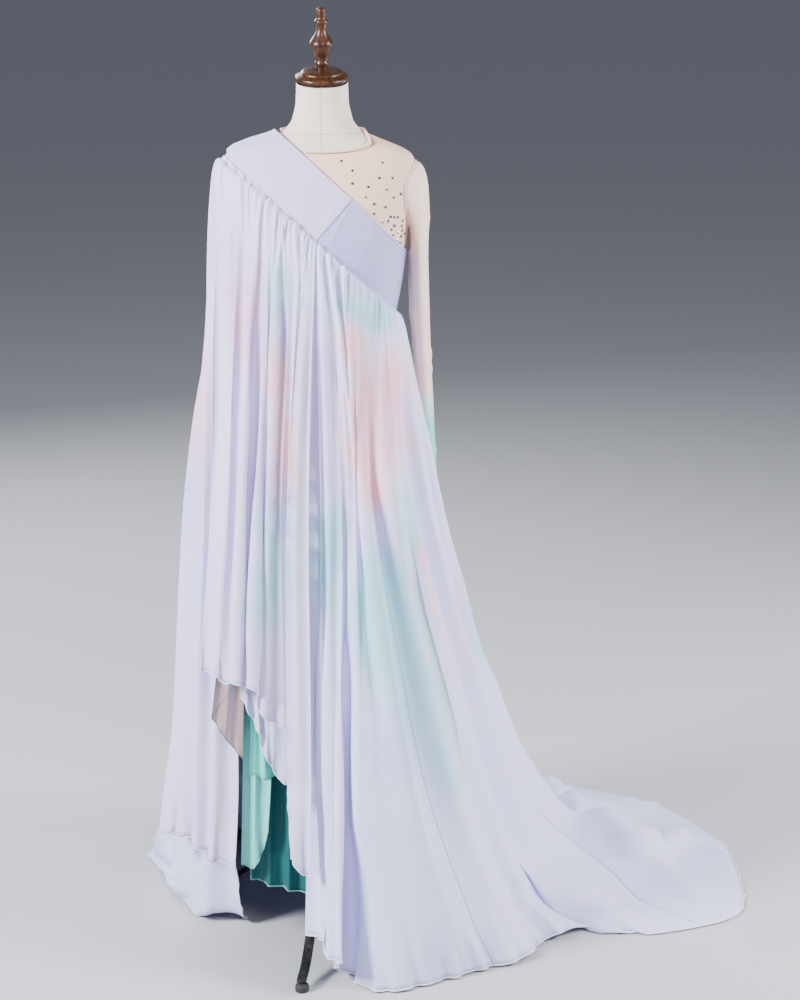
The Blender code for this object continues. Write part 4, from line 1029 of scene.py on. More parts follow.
# Columns: name, node, from and to in degrees round the band, finish
SASH_PIECES = (
    ("band_front_upper", "sash_front_upper", 271, 366.0, satin),
    ("band_front_lower", "sash_front_lower", 5.6, 95, shaded_satin),
    ("band_back", "sash_back", 95, 271, satin),
)
JOIN_SUNK, JOIN_DEGREES, JOIN_FADE = 0.0011, 84, 5
TOPSTITCH, TOPSTITCH_PITCH, TOPSTITCH_LENGTH = 0.00042, 0.0038, 0.0029
for name, node, first, last, finish in SASH_PIECES:
    grid = sash_grid(first, last)
    if node == "sash_front_lower":
        sunk = np.exp(-((np.linspace(0, JOIN_DEGREES, grid.shape[1]) / JOIN_FADE) ** 2))
        grid -= JOIN_SUNK * sunk[None, :, None] * form_distance(grid)[1]
    made = grid_piece(name, grid, finish, SATIN_CLOTH)
    finish_piece(made, "white_satin", node)
    cloth_sheet(grid)
    for row, where in ((5, "upper"), (-6, "lower")):
        sash_line(
            f"{name}_{where}_topstitch", grid[row], 0.0003, TOPSTITCH, white_thread, STITCHES,
            Pitch=TOPSTITCH_PITCH, Length=TOPSTITCH_LENGTH,
        )
    for row, where in ((0, "upper"), (-1, "lower")):
        sash_line(f"{name}_{where}_fold", grid[row], -0.0004, 0.0008)
sash_line("band_tuck_fold", sash_grid(343.0, 365.6)[12], 0.0001, 0.0007)
sash_line("band_join_fold", sash_grid(363.0, 366.3)[:, -1], 0.0002, 0.0010)

# Dyed chiffon
# One fine soft chiffon, white with a lavender cast, dyed by hand in patches that bleed into each
# other: pink, mauve, mint and blue-grey. It is crinkled and slightly see-through.
MM = 0.001
# Columns of a dye: name, tint, depth. Of a patch: middle from the axis and half sizes in millimetres
DYES = (
    ("mauve", (0.66, 0.40, 0.82), 0.52, (
        ((-205, -70, 1290), (40, 80, 110)), ((-150, -120, 1230), (40, 80, 100)),
        ((-15, -140, 1080), (34, 70, 90)), ((0, -155, 985), (30, 70, 80)),
        ((20, -160, 890), (36, 70, 80)), ((40, -170, 790), (30, 70, 60)),
        ((-190, -60, 900), (50, 60, 120)), ((-110, 200, 760), (60, 80, 120)),
        ((120, 170, 900), (50, 70, 120)), ((290, 10, 640), (60, 60, 120)),
        ((-95, -150, 900), (26, 70, 90)), ((40, 300, 380), (90, 90, 90)),
    )),
    ("aqua", (0.16, 0.68, 0.68), 0.60, (
        ((66, -110, 1190), (48, 70, 26)), ((98, -105, 1170), (28, 60, 22)),
        ((14, -168, 825), (24, 60, 60)), ((13, -178, 745), (26, 60, 80)),
        ((160, -130, 865), (20, 60, 60)), ((176, -140, 800), (22, 60, 60)),
        ((109, -185, 716), (48, 80, 70)), ((138, -192, 625), (58, 80, 90)),
        ((176, -205, 515), (52, 80, 80)), ((86, -195, 640), (34, 70, 110)),
        ((214, -215, 390), (46, 70, 80)), ((-84, -170, 780), (34, 70, 90)),
        ((-96, -170, 690), (32, 70, 70)), ((-84, -130, 1235), (30, 60, 50)),
        ((-215, 90, 760), (60, 90, 130)), ((-60, 240, 600), (80, 90, 130)),
        ((90, 260, 640), (70, 90, 130)), ((260, 130, 560), (70, 80, 120)),
        ((-150, 60, 1200), (50, 90, 70)), ((120, 90, 1130), (60, 60, 50)),
        ((-260, 150, 420), (60, 90, 90)),
    )),
    ("coral", (1.0, 0.42, 0.38), 0.68, (
        ((54, -125, 1120), (24, 60, 50)), ((68, -140, 1040), (32, 70, 70)),
        ((84, -150, 955), (34, 70, 70)), ((96, -155, 885), (26, 70, 50)),
        ((128, -110, 1075), (28, 60, 60)), ((142, -120, 1000), (26, 60, 60)),
        ((154, -120, 940), (18, 60, 45)), ((-70, -150, 1085), (24, 60, 60)),
        ((-69, -156, 1000), (24, 60, 70)), ((-66, -160, 920), (20, 60, 60)),
        ((-150, 170, 1010), (60, 70, 100)), ((60, 180, 1000), (60, 70, 110)),
        ((-20, 150, 1060), (40, 60, 90)), ((170, 70, 1010), (60, 70, 90)),
    )),
    ("pink", (0.98, 0.40, 0.60), 0.60, (
        ((-120, -130, 1160), (30, 80, 90)), ((136, -112, 1030), (34, 60, 80)),
        ((192, -130, 765), (20, 60, 60)), ((208, -140, 680), (22, 60, 70)),
        ((224, -150, 585), (20, 60, 60)), ((-20, 215, 820), (50, 80, 110)),
        ((150, 215, 730), (50, 80, 100)), ((-285, 60, 560), (40, 70, 90)),
        ((-225, -20, 1010), (40, 60, 110)),
    )),
    ("blue_grey", (0.34, 0.50, 0.90), 0.42, (
        ((-90, -140, 1160), (34, 80, 60)), ((-195, -90, 640), (40, 80, 120)),
        ((-84, -165, 860), (30, 80, 60)), ((130, -200, 440), (60, 90, 80)),
        ((20, 210, 860), (60, 90, 90)), ((-250, 10, 860), (50, 80, 90)), ((210, 190, 780), (60, 80, 100)),
    )),
)


def dyed(points, ground, strength):
    """The colour that hand dyeing leaves at each point: soft patches with edges that wander."""
    points = np.asarray(points)
    wander = np.stack(
        [
            np.sin(points @ turns + number) * 0.5 + np.sin(points @ turns[::-1] * 2.3 + 2 * number) * 0.3
            for number, turns in enumerate(np.array([(31, 17, 23), (19, 37, 13), (29, 11, 19)]))
        ],
        axis=-1,
    )
    bled = points + 0.018 * wander
    colour = np.broadcast_to(np.array(ground, float), points.shape).copy()
    for _, tint, depth, patches in DYES:
        clear = np.ones(points.shape[:-1])
        for centre, half in patches:
            far = np.linalg.norm((bled - MM * np.array(centre)) / (1.7 * MM * np.array(half)), axis=-1)
            near = np.clip(1 - far, 0, 1)
            clear *= 1 - near * near * (3 - 2 * near)
        share = (strength * depth * (1 - clear))[..., None]
        colour = colour * (1 - share) + np.array(tint) * share
    return colour


def crinkle_group():
    """The fine uneven crinkle of chiffon, as a height."""
    tree, given = shader_group("chiffon_crinkle", [], ["Height"])
    drawn_out = {0: given["Vector"], 1: (160.0, 26.0, 1.0)}
    stretched = add_node(tree, "ShaderNodeVectorMath", drawn_out, operation="MULTIPLY").outputs[0]
    crumpled = {"Vector": stretched, "Scale": 1.0, "Detail": 3.0, "Distortion": 0.6}
    fine = add_node(tree, "ShaderNodeTexNoise", crumpled).outputs["Fac"]
    add_node(tree, "NodeGroupOutput", {"Height": fine})
    return tree


CRINKLE = crinkle_group()


CHIFFON_WEAVE = (1300.0, 0.0002, 0.25, 0.97, 1.03)


def chiffon_finish(name, ground, alpha):
    """Chiffon in the dye that its mesh carries, with the weave under its crinkle."""
    made, tree, shader = new_finish(
        name, ground, 0.62, Sheen_Weight=0.12, Sheen_Roughness=0.4, Alpha=alpha, Specular_IOR_Level=0.3
    )
    dye = add_node(tree, "ShaderNodeAttribute", attribute_name="dye")
    weave = woven(tree, shader, dye.outputs["Color"], *CHIFFON_WEAVE)
    place = add_node(tree, "ShaderNodeUVMap", uv_map="cloth").outputs["UV"]
    crinkle = add_node(tree, "ShaderNodeGroup", {"Vector": place}, node_tree=CRINKLE).outputs["Height"]
    pressed = {"Height": crinkle, "Strength": 0.35, "Distance": 0.0012, "Normal": weave.outputs["Normal"]}
    ripple = add_node(tree, "ShaderNodeBump", pressed)
    tree.links.new(ripple.outputs["Normal"], shader.inputs["Normal"])
    return made


# Each chiffon's ground colour and how strongly it took the dyes
SKIRT_DYE = ((0.67, 0.67, 0.97), 1.0)
CAPE_DYE = ((0.76, 0.69, 0.99), 0.85)
OVERLAY_DYE = ((0.72, 0.70, 0.98), 0.85)
# The peach's ground is darkened towards grey with painted shade, for where the panel lies deep in the slit.
PEACH_DYE_AND_SHADE = ((0.42, 0.30, 0.30), 0.3)
MINT_DYE = ((0.13, 0.74, 0.64), 0.0)
MINT_SHEER_DYE = ((0.24, 0.78, 0.74), 0.0)
# The teal's ground is darkened nearly to black-green with painted shade, for the slip in the slit's shadow.
TEAL_DYE_AND_SHADE = ((0.007, 0.10, 0.11), 0.0)
skirt_chiffon = chiffon_finish("dyed_chiffon_skirt", SKIRT_DYE[0], 1.0)
cape_chiffon = chiffon_finish("dyed_chiffon_cape", CAPE_DYE[0], 0.84)
overlay_chiffon = chiffon_finish("dyed_chiffon_overlay", OVERLAY_DYE[0], 0.78)
peach_chiffon = chiffon_finish("peach_chiffon_panel", PEACH_DYE_AND_SHADE[0], 0.66)
mint_chiffon = chiffon_finish("mint_chiffon_panel", MINT_DYE[0], 0.85)
mint_sheer = chiffon_finish("mint_chiffon_sheer", MINT_SHEER_DYE[0], 0.70)
teal_chiffon = chiffon_finish("teal_chiffon_slip", TEAL_DYE_AND_SHADE[0], 0.92)
white_hem = plain_finish(
    "rolled_chiffon_edge", (0.80, 0.79, 0.94), 0.55, 300.0, 0.45, 0.65, Sheen_Weight=0.1
)
green_hem = plain_finish("dark_green_edge", (0.03, 0.16, 0.13), 0.5, 300.0, 0.4, 0.6, Sheen_Weight=0.3)
mint_hem = plain_finish("mint_edge", (0.16, 0.58, 0.50), 0.5, 300.0, 0.4, 0.6, Sheen_Weight=0.3)

# Gathers and folds
# The chiffon is gathered by hand along the band's lower edge. From there it falls in folds, whose
# crests pass through the same places as the solids' own, with smaller creases between them.
INNER_LIFT, MIDDLE_LIFT = 0.0046, 0.0068
FLOOR_LEVEL = 0.0026
# The heading's gap below the band, and how far the chiffon stands off below it
HEADING_GAP, HEADING_SLANT = 0.0005, 0.0019
PUFF, SHOULDER_PUFF = 0.009, 0.015
GATHER_PITCH = 0.0140
# Gathers: height at the band, what it grows by and how soon, then how long each runs and how often
GATHER_FIRST, GATHER_GROWS, GATHER_SOON = 0.0014, 0.0088, 0.014
GATHER_FADES, GATHER_ODDS = (0.02, 0.04, 0.075, 0.14, 0.30), (0.3, 0.28, 0.22, 0.13, 0.07)
PUFF_DROP, HOLLOWS_FROM = 0.12, 0.45
EASE, EASE_SOON = 0.004, 0.04
HIP_Z, KNEE_Z = 850, 420
# Columns: round, hip (x, y), knee (x, y), shin (x, y, z), run (x, y, z), hem (x, y, z), hollow
SKIRT_FOLDS = (
    (-1, (-30, -140), (-27, -185), (-31, -220, 180), None, (-34, -240, 86), 12),
    (8, (-4, -155), (-8, -205), (-3, -250, 180), None, (-2, -285, 92), 10),
    (12, (10, -155), (6, -211), (9, -262, 175), None, (8, -298, 68), 10),
    (20, (35, -155), (32, -222), (31, -280, 170), None, (30, -318, 70), 14),
    (30, (53, -150), (50, -195), (50, -215, 120), None, (42, -223, 4), 0),
    (32.5, (57, -156), (60, -222), (62, -258, 120), None, (62, -275, 4), 2),
    (38, (62, -158), (90, -230), (112, -275, 120), None, (125, -295, 4), 4),
    (48, (75, -155), (153, -225), (225, -235, 120), None, (257, -218, 4), 10),
    (60, (115, -135), (205, -165), (290, -135, 120), None, (354, -155, 4), 14),
    (72, (157, -100), (249, -85), (330, -25, 120), None, (436, -41, 4), 30),
    (80, (187, -55), (284, 25), (385, 110, 110), (480, 40, 35), (610, -45, 4), 30),
    (90, (203, -2), (311, 150), (430, 330, 110), (585, 290, 45), (785, 60, 4), 34),
    (100, (150, 105), (270, 270), (395, 440, 110), (560, 430, 50), (800, 370, 4), 30),
    (112, (125, 150), (205, 335), (310, 480, 90), (450, 560, 45), (690, 620, 4), 28),
    (126, (85, 178), (120, 350), (180, 480, 80), (280, 600, 35), (480, 740, 4), 26),
    (142, (30, 188), (30, 345), (45, 460, 80), (90, 570, 30), (220, 745, 4), 26),
    (160, (-30, 185), (-60, 325), (-85, 420, 70), (-95, 510, 28), (-40, 705, 4), 26),
    (180, (-90, 168), (-140, 285), (-190, 370, 70), (-215, 440, 25), (-230, 615, 4), 24),
    (200, (-150, 142), (-205, 220), (-265, 290, 60), (-300, 350, 22), (-352, 495, 4), 20),
    (214, (-190, 118), (-238, 150), (-300, 195, 60), (-330, 240, 20), (-372, 350, 4), 16),
    (226, (-208, 95), (-242, 75), (-285, 100, 60), None, (-318, 200, 4), 14),
    (236, (-212, 72), (-222, 10), (-232, 5, 60), None, (-250, 42, 4), 12),
    (244, (-205, 50), (-185, -30), (-165, -18, 60), None, (-155, 24, 4), 0),
)
CAPE_FOLDS = (
    (200, (-135, 185), (-190, 262), (-215, 305, 290), None, (-222, 318, 225), 20),
    (215, (-192, 155), (-258, 205), (-282, 228, 280), None, (-288, 236, 210), 20),
    (228, (-228, 112), (-282, 128), (-302, 138, 270), None, (-310, 142, 198), 18),
    (240, (-244, 58), (-284, 58), (-304, 60, 270), None, (-313, 62, 190), 16),
    (252, (-247, 5), (-281, -5), (-299, -10, 270), None, (-307, -12, 188), 18),
    (261, (-236, -45), (-260, -58), (-270, -62, 270), None, (-274, -64, 201), 18),
    (268.5, (-214, -85), (-232, -96), (-238, -102, 260), None, (-240, -106, 192), 16),
    (274, (-188, -108), (-198, -118), (-202, -122, 250), None, (-204, -126, 177), 10),
    (277.6, (-160, -118), (-156, -124), (-160, -127, 250), None, (-163, -130, 164), 0),
)
FLAP_FOLDS = (
    (278.3, (-196, -140), None, (-208, -160, 680), None, (-217, -172, 556), 8),
    (291, (-166, -156), None, (-178, -177, 680), None, (-184, -190, 547), 12),
    (303, (-138, -160), None, (-146, -185, 680), None, (-150, -202, 540), 12),
    (314, (-114, -160), None, (-120, -185, 670), None, (-124, -203, 531), 12),
    (326, (-92, -161), None, (-95, -185, 630), None, (-99, -196, 472), 10),
    (339, (-71, -158), None, (-69, -180, 630), None, (-67, -190, 462), 8),
    (356.8, (-50, -148), None, (-47, -168, 620), None, (-46, -176, 455), 0),
)
INSIDE_FOLDS = (
    (314, (-120, -128), None, (-136, -146, 660), None, (-146, -158, 500), 4),
    (325, (-98, -130), None, (-116, -150, 600), None, (-118, -166, 440), 4),
    (337, (-78, -130), None, (-88, -152, 550), None, (-90, -170, 366), 4),
    (349, (-56, -128), None, (-60, -150, 550), None, (-60, -166, 346), 0),
)
STRIP_FOLDS = (
    (357, (-60, -168), (-64, -212), (-61, -238, 330), None, (-58, -256, 236), 4),
    (361.5, (-43, -172), (-42, -222), (-41, -250, 320), None, (-40, -268, 222), 4),
    (366, (-25, -170), (-21, -222), (-22, -252, 310), None, (-23, -270, 208), 0),
)

# Panels seen in the slit. Columns: round the form from the front, middle, low and hem (x, y, z), hollow
PEACH_FOLDS = (
    (-50, (-148, -130, 760), (-184, -144, 580), (-200, -150, 462), 8),
    (-43, (-138, -132, 760), (-163, -148, 580), (-176, -154, 425), 8),
    (-36, (-126, -132, 760), (-139, -146, 580), (-146, -150, 386), 0),
)
MINT_SHORT_FOLDS = (
    (-37, (-118, -122, 700), (-130, -134, 500), (-134, -140, 352), 10),
    (-25, (-92, -126, 700), (-104, -140, 500), (-106, -148, 345), 12),
    (-13, (-62, -124, 700), (-70, -138, 500), (-74, -144, 352), 0),
)
MINT_LONG_FOLDS = (
    (-37, (-128, -100, 680), (-146, -108, 400), (-154, -112, 168), 8),
    (-25, (-105, -105, 680), (-124, -114, 400), (-130, -120, 166), 10),
    (-13, (-78, -106, 680), (-94, -116, 400), (-104, -124, 235), 0),
)
SLIP_FOLDS = (
    (-44, (-118, -80, 680), (-132, -84, 400), (-139, -88, 130), 10),
    (-28, (-88, -90, 680), (-100, -98, 400), (-108, -104, 124), 12),
    (-12, (-48, -96, 680), (-62, -108, 400), (-70, -116, 118), 10),
    (4, (-8, -96, 680), (-24, -110, 400), (-30, -120, 112), 0),
)
ROUND = np.linspace(-90, 450, 1081)
HEADING = round_sash(ROUND, np.full(ROUND.shape, SASH_LOW), 0.0)
HEADING_LENGTH = run_along(HEADING)


def heading_length(degrees):
    """How far along the band's lower edge an angle lies."""
    return np.interp(degrees, ROUND, HEADING_LENGTH)


def heading(degrees, lift):
    """The chiffon's top edge, just below the band: further where both walls slant in their thickness."""
    degrees = np.asarray(degrees, float)
    lift = lift + shoulder_rise(degrees)
    edge = round_sash(degrees, np.full(degrees.shape, SASH_LOW), lift)
    slant = np.abs(form_distance(edge)[1] @ SASH_ACROSS)
    return round_sash(degrees, SASH_LOW - HEADING_GAP - HEADING_SLANT * slant, lift)


def along(points, fractions):
    """Points at these fractions of a curve's length."""
    length = run_along(points)
    wanted = np.array(fractions) * length[-1]
    return np.stack([np.interp(wanted, length, points[:, k]) for k in range(3)], -1)


def crest_line(fold, lift, fractions):
    """A fold's crest from the band to the hem, through the places in its row."""
    degrees, hip, knee, shin, run, hem, _ = fold
    top = heading(degrees, lift)
    hip_point = MM * np.array([*hip, HIP_Z])
    away = form_distance(top)[1] * np.array([1, 1, 0])
    puff = PUFF + SHOULDER_PUFF * bump_at(degrees, SHOULDER_AT, SHOULDER_SPREAD)
    puffed = top + PUFF_DROP * (hip_point - top) + puff * away
    lower = [(*knee, KNEE_Z)] if knee else []
    lower = lower + [point for point in (shin, run, hem) if point]
    return along(spline([top, puffed, hip_point, *(MM * np.array(lower))]), fractions)


def across_rows(lines, place_between):
    """Blends the crest lines smoothly: place_between runs from 0 at the first line."""
    count = len(lines)
    i = np.clip(np.floor(place_between).astype(int), 0, count - 2)
    t = (place_between - i)[None, :, None]
    lines = np.array(lines)
    a, b = lines[np.maximum(i - 1, 0)], lines[i]
    c, d = lines[i + 1], lines[np.minimum(i + 2, count - 1)]
    return smooth_between(*(line.transpose(1, 0, 2) for line in (a, b, c, d)), t)


def hollows(folds, place_between, fractions, spread):
    """How far the cloth lies back between two crests, over the whole grid."""
    uneven = np.random.default_rng(len(folds)).uniform(*spread, len(folds))
    depth = MM * uneven * np.array([fold[-1] for fold in folds], float)
    i = np.clip(np.floor(place_between).astype(int), 0, len(folds) - 2)
    t = place_between - i
    wave = (1 - np.cos(2 * np.pi * t)) / 4 + np.abs(np.sin(np.pi * t)) ** 1.2 / 2
    grown = np.clip(np.array(fractions) / HOLLOWS_FROM, 0, 1) ** 1.3
    return grown[:, None] * (depth[i] * wave)[None, :]


def gathers(lengths, fallen, seed):
    """Uneven gathers: each ridge has its own size, width, length and drift."""
    draw = np.random.default_rng(seed)
    ridges = np.zeros((len(fallen), len(lengths)))
    centre = lengths[0] - GATHER_PITCH
    while centre < lengths[-1] + GATHER_PITCH:
        pitch = GATHER_PITCH * draw.uniform(0.45, 1.5)
        size = draw.uniform(0.4, 1.25) * (pitch / GATHER_PITCH) ** 0.5
        fade = draw.choice(GATHER_FADES, p=GATHER_ODDS)
        drift = draw.normal(0, 0.06)
        width = pitch * (0.20 + 1.4 * fallen)
        middle = centre + drift * fallen
        off = (lengths[None, :] - middle[:, None]) / width[:, None]
        ridges += (size * np.exp(-fallen / fade))[:, None] * np.exp(-(off**2))
        centre += pitch
    grown = GATHER_FIRST + GATHER_GROWS * (1 - np.exp(-fallen / GATHER_SOON))
    return ridges * grown[:, None]


# Creases on the skirt between its folds. Columns: round in degrees, from and to as a share of the
# length, depth in millimetres, half width in millimetres, sideways drift in millimetres
SKIRT_CREASES = (
    (3, 0.02, 0.80, 6, 11, 6), (9, 0.03, 0.60, -4, 10, -5), (14, 0.02, 0.95, 7, 13, -6),
    (19, 0.05, 0.70, -5, 11, 6), (25, 0.02, 0.60, 7, 13, 8), (28, 0.25, 1.00, -3, 14, -6),
    (33, 0.02, 0.85, 9, 15, 8), (36, 0.30, 1.00, 9, 16, 6), (41, 0.12, 1.00, -13, 20, 10),
    (45, 0.02, 0.60, 8, 14, -8), (46, 0.20, 1.00, 13, 19, 8), (52, 0.08, 1.00, -11, 18, 12),
    (57, 0.15, 1.00, 14, 20, 12), (63, 0.02, 0.70, 8, 16, 10), (62, 0.30, 1.00, -11, 18, -8),
    (68, 0.20, 1.00, 15, 20, -12), (75, 0.04, 0.80, -8, 18, 10), (77, 0.35, 0.96, 15, 24, 10),
    (84, 0.20, 0.93, 15, 26, 16), (87, 0.03, 0.45, 6, 18, -8), (90, 0.55, 0.93, 14, 18, 22),
    (95, 0.35, 0.93, 17, 24, -20), (99, 0.60, 0.93, 12, 16, 10), (103, 0.04, 0.60, 7, 20, 8),
    (106, 0.30, 0.93, 18, 26, 24), (111, 0.60, 0.93, 12, 16, -10), (117, 0.30, 0.93, 17, 24, -18),
    (121, 0.03, 0.50, 7, 20, 10), (124, 0.60, 0.93, 13, 18, 12), (132, 0.25, 0.93, 16, 26, 20),
    (137, 0.04, 0.60, -7, 20, -10), (139, 0.60, 0.93, 12, 16, -8), (148, 0.25, 0.93, 16, 24, -18),
    (154, 0.03, 0.60, 7, 20, 8), (158, 0.55, 0.93, 12, 18, 10), (167, 0.25, 0.93, 15, 24, 18),
    (173, 0.04, 0.60, 7, 20, -10), (177, 0.60, 0.93, 12, 16, 8), (188, 0.20, 0.93, 14, 24, 16),
    (194, 0.03, 0.60, -7, 20, 8), (198, 0.55, 0.93, 10, 16, -8), (207, 0.20, 0.93, 12, 22, -14),
    (219, 0.04, 0.80, -7, 20, 12), (231, 0.15, 1.00, 8, 16, -8), (240, 0.03, 0.70, 5, 13, 6),
)
CAPE_CREASES = (
    (207, 0.10, 1.00, 8, 20, 12), (213, 0.02, 0.45, -5, 15, -6), (222, 0.05, 1.00, 8, 19, -10),
    (229, 0.25, 1.00, -6, 17, 8), (236, 0.02, 0.70, 7, 18, 10), (243, 0.25, 1.00, 7, 16, -10),
    (249, 0.03, 0.80, -5, 13, 6), (255, 0.15, 1.00, 6, 13, 8), (261, 0.03, 0.60, 5, 11, -6),
    (266, 0.20, 1.00, 5, 10, 6), (272, 0.03, 0.90, -4, 9, 4),
)
FLAP_CREASES = (
    (284, 0.02, 1.00, 6, 14, 8), (293, 0.03, 0.50, -4, 12, -6), (299, 0.10, 1.00, 6, 13, -8),
    (310, 0.02, 0.80, -5, 14, 8), (317, 0.06, 1.00, 7, 12, 6), (329, 0.02, 0.70, 5, 12, -8),
    (338, 0.10, 1.00, -5, 11, 6), (347, 0.02, 1.00, 6, 9, 4), (354, 0.03, 0.90, -4, 7, -3),
)
THIN_CREASES = (
    (322, 0.1, 1.0, 4, 11, 5), (337, 0.1, 0.9, -4, 10, -4), (359, 0.05, 1.0, 4, 9, 4),
    (363.5, 0.1, 1.0, -4, 8, -4),
)


def crease_heights(creases, lengths, fractions):
    """How far each crease lifts the cloth or sinks it."""
    heights = np.zeros((len(fractions), len(lengths)))
    v = np.asarray(fractions)
    for degrees, start, end, depth, width, drift in creases:
        middle = heading_length(degrees) + MM * drift * np.sin(2.2 * v + degrees)
        share = np.clip((v - start) / 0.12, 0, 1) * np.clip((end + 0.02 - v) / 0.10, 0, 1)
        if end >= 1:
            share = np.clip((v - start) / 0.12, 0, 1)
        narrow = MM * width * (0.55 + 0.55 * v)
        off = (lengths[None, :] - middle[:, None]) / narrow[:, None]
        heights += (MM * depth * share * share)[:, None] * np.exp(-(off**2))
    return heights


# Folds across the train on the floor. Columns: crest's (x, y) in millimetres, height, half width
FLOOR_FOLDS = (
    (((430, 600), (503, 407), (560, 285), (610, 268), (665, 335), (720, 440)), 38, 28),
    (((330, -40), (455, -45), (560, 0), (700, 60)), 24, 28),
)


def floor_folds(grid):
    """How far each point lies up a fold across the train."""
    rise = np.zeros(grid.shape[:2])
    for crest, height, half_width in FLOOR_FOLDS:
        line = MM * spline(crest, steps=8)
        share = np.linspace(0, 1, len(line))
        far = np.linalg.norm(grid[:, :, None, :2] - line, axis=-1)
        nearest = far.argmin(-1)
        grown = np.sin(np.pi * share[nearest]) ** 0.5
        low = np.clip((0.22 - grid[..., 2]) / 0.08, 0, 1)
        rise += MM * height * grown * low * np.exp(-((far.min(-1) / (MM * half_width)) ** 2))
    return rise


def undulation(lengths, v, seed):
    """Broad soft swells that keep the folds from looking ruled."""
    draw = np.random.default_rng(seed + 100)
    swell = np.zeros((len(v), len(lengths)))
    for length, fall in ((0.083, 0.62), (0.13, 0.95), (0.21, 0.70)):
        across = 2 * np.pi * lengths / length + draw.uniform(0, 6)
        down = 2 * np.pi * v / fall + draw.uniform(0, 6)
        swell += 0.020 * length * np.sin(across[None, :] + 1.3 * np.sin(down)[:, None])
    return swell * np.clip(v / 0.25, 0, 1)[:, None]


def hem_ripples(grid, v, size, phase):
    """Small waves by the hem, worked out along its own length."""
    run = run_along(grid[-1])
    wave = np.sin(2 * np.pi * run / 0.052 + phase + 1.1 * np.sin(run / 0.16))
    wave += 0.55 * np.sin(2 * np.pi * run / 0.031 + 2 * phase)
    grown = np.clip((v - 0.88) / 0.12, 0, 1) ** 1.6
    return size * grown[:, None] * wave[None, :]


def scallops(grid, v, size, phase):
    """How far a hem dips and rises along its length, as chiffon's edge does where it curls."""
    run = run_along(grid[-1])
    wave = np.sin(2 * np.pi * run / 0.083 + phase + 1.4 * np.sin(run / 0.11))
    wave = wave + 0.5 * np.sin(2 * np.pi * run / 0.041 - phase)
    return size * (np.clip((v - 0.80) / 0.20, 0, 1) ** 2)[:, None] * wave[None, :]


COLUMN_PITCH = 0.0017
DROP = 1.2
# From this angle on, over this many degrees, a piece's hem ripples grow still
STILL_FROM, STILL_OVER = 200, 16


def draped(
    folds, lift, rows, creases, seed, ripple=0.0045, scallop=0.0, edges=(0, 0), spread=(0.45, 1.2), still=0.0
):
    """The outer face of gathered chiffon between the folds' crests.

    ripple and scallop are the hem's waves outwards and up, edges those of the free edges, spread
    how uneven the hollows are, and still how far the ripples die away at the left.
    """
    v = np.linspace(0, 1, rows) ** 1.45
    a, b = heading_length(folds[0][0]), heading_length(folds[-1][0])
    lengths = np.linspace(a, b, max(int((b - a) / COLUMN_PITCH), 24))
    degrees = np.interp(lengths, HEADING_LENGTH, ROUND)
    lines = [crest_line(fold, lift, v) for fold in folds]
    row_lengths = heading_length(np.array([fold[0] for fold in folds], float))
    place_between = np.interp(lengths, row_lengths, np.arange(len(folds)))
    grid = across_rows(lines, place_between)
    grid += np.exp(-v / 0.03)[:, None, None] * (heading(degrees, lift) - grid[0])
    grid -= outward_normals(grid) * hollows(folds, place_between, v, spread)[..., None]
    normal = outward_normals(grid)
    fallen = v * DROP
    calm = 1 - still * np.clip((degrees - STILL_FROM) / STILL_OVER, 0, 1)
    raised = gathers(lengths, fallen, seed)
    folded = crease_heights(creases, lengths, v) + hem_ripples(grid, v, ripple, 0.7 * seed) * calm
    folded += undulation(lengths, v, seed) + floor_folds(grid)
    for size, column in zip(edges, (0, -1)):
        gap = np.linalg.norm(grid - grid[:, column][:, None], axis=-1)
        run = run_along(grid[:, column])
        wave = np.sin(2 * np.pi * run / 0.061 + 1.6 * np.sin(run / 0.09))
        wave = wave + 0.5 * np.sin(2 * np.pi * run / 0.029 + 2)
        uneven = 0.55 + 0.45 * np.sin(run / 0.071 + 1)
        folded += size * np.exp(-gap / 0.009) * (wave * uneven * np.clip(run / 0.10, 0, 1))[:, None]
    grid += normal * (raised + folded)[..., None]
    grid[..., 2] += scallops(grid, v, scallop, 0.9 * seed)
    ease = EASE * (1 - np.exp(-fallen / EASE_SOON))
    grid = off_form(grid, lift + ease[:, None] + raised * np.exp(-fallen / 0.3)[:, None])
    grid[..., 2] = np.maximum(grid[..., 2], FLOOR_LEVEL)
    return grid


def edge_hem(name, line, radius, finish, slot):
    """A narrow rolled edge along a line on the cloth."""
    finish_piece(route_piece(name, line, radius, finish, ROLLED_EDGE), slot)


def hems_round(node, grid, hem_radius, side_radius, finish, slot):
    """Rolls a piece's hem and its two side edges."""
    edge_hem(f"{node}_hem", grid[-1], hem_radius, finish, slot)
    edge_hem(f"{node}_first_edge", grid[:, 0], side_radius, finish, slot)
    edge_hem(f"{node}_last_edge", grid[:, -1], side_radius, finish, slot)


# Skirt and train
# Eight gores cut from the same chiffon, seamed to each other. The train is cut longer and lies
# on the floor, and the skirt is open at the left front. Its free edges are rolled.
# Columns: name, node, and the folds, counted from 0, that it runs between
SKIRT_GORES = (
    ("chiffon_front_left", "skirt_front_left", 0.0, 3.5),
    ("chiffon_front", "skirt_front", 3.5, 7.5),
    ("chiffon_side", "skirt_side", 7.5, 10.5),
    ("chiffon_train_right", "train_right", 10.5, 12.5),
    ("chiffon_train_corner", "train_corner", 12.5, 14.5),
    ("chiffon_train_back", "train_back", 14.5, 16.5),
    ("chiffon_back", "skirt_back", 16.5, 18.5),
    ("chiffon_left", "skirt_left", 18.5, 22.0),
)
CHIFFON_CLOTH = 0.0005
crests = [fold[0] for fold in SKIRT_FOLDS]
skirt = draped(
    SKIRT_FOLDS, INNER_LIFT, 150, SKIRT_CREASES, 4, edges=(0.0012, 0.002), spread=(0.7, 1.15), still=0.75
)
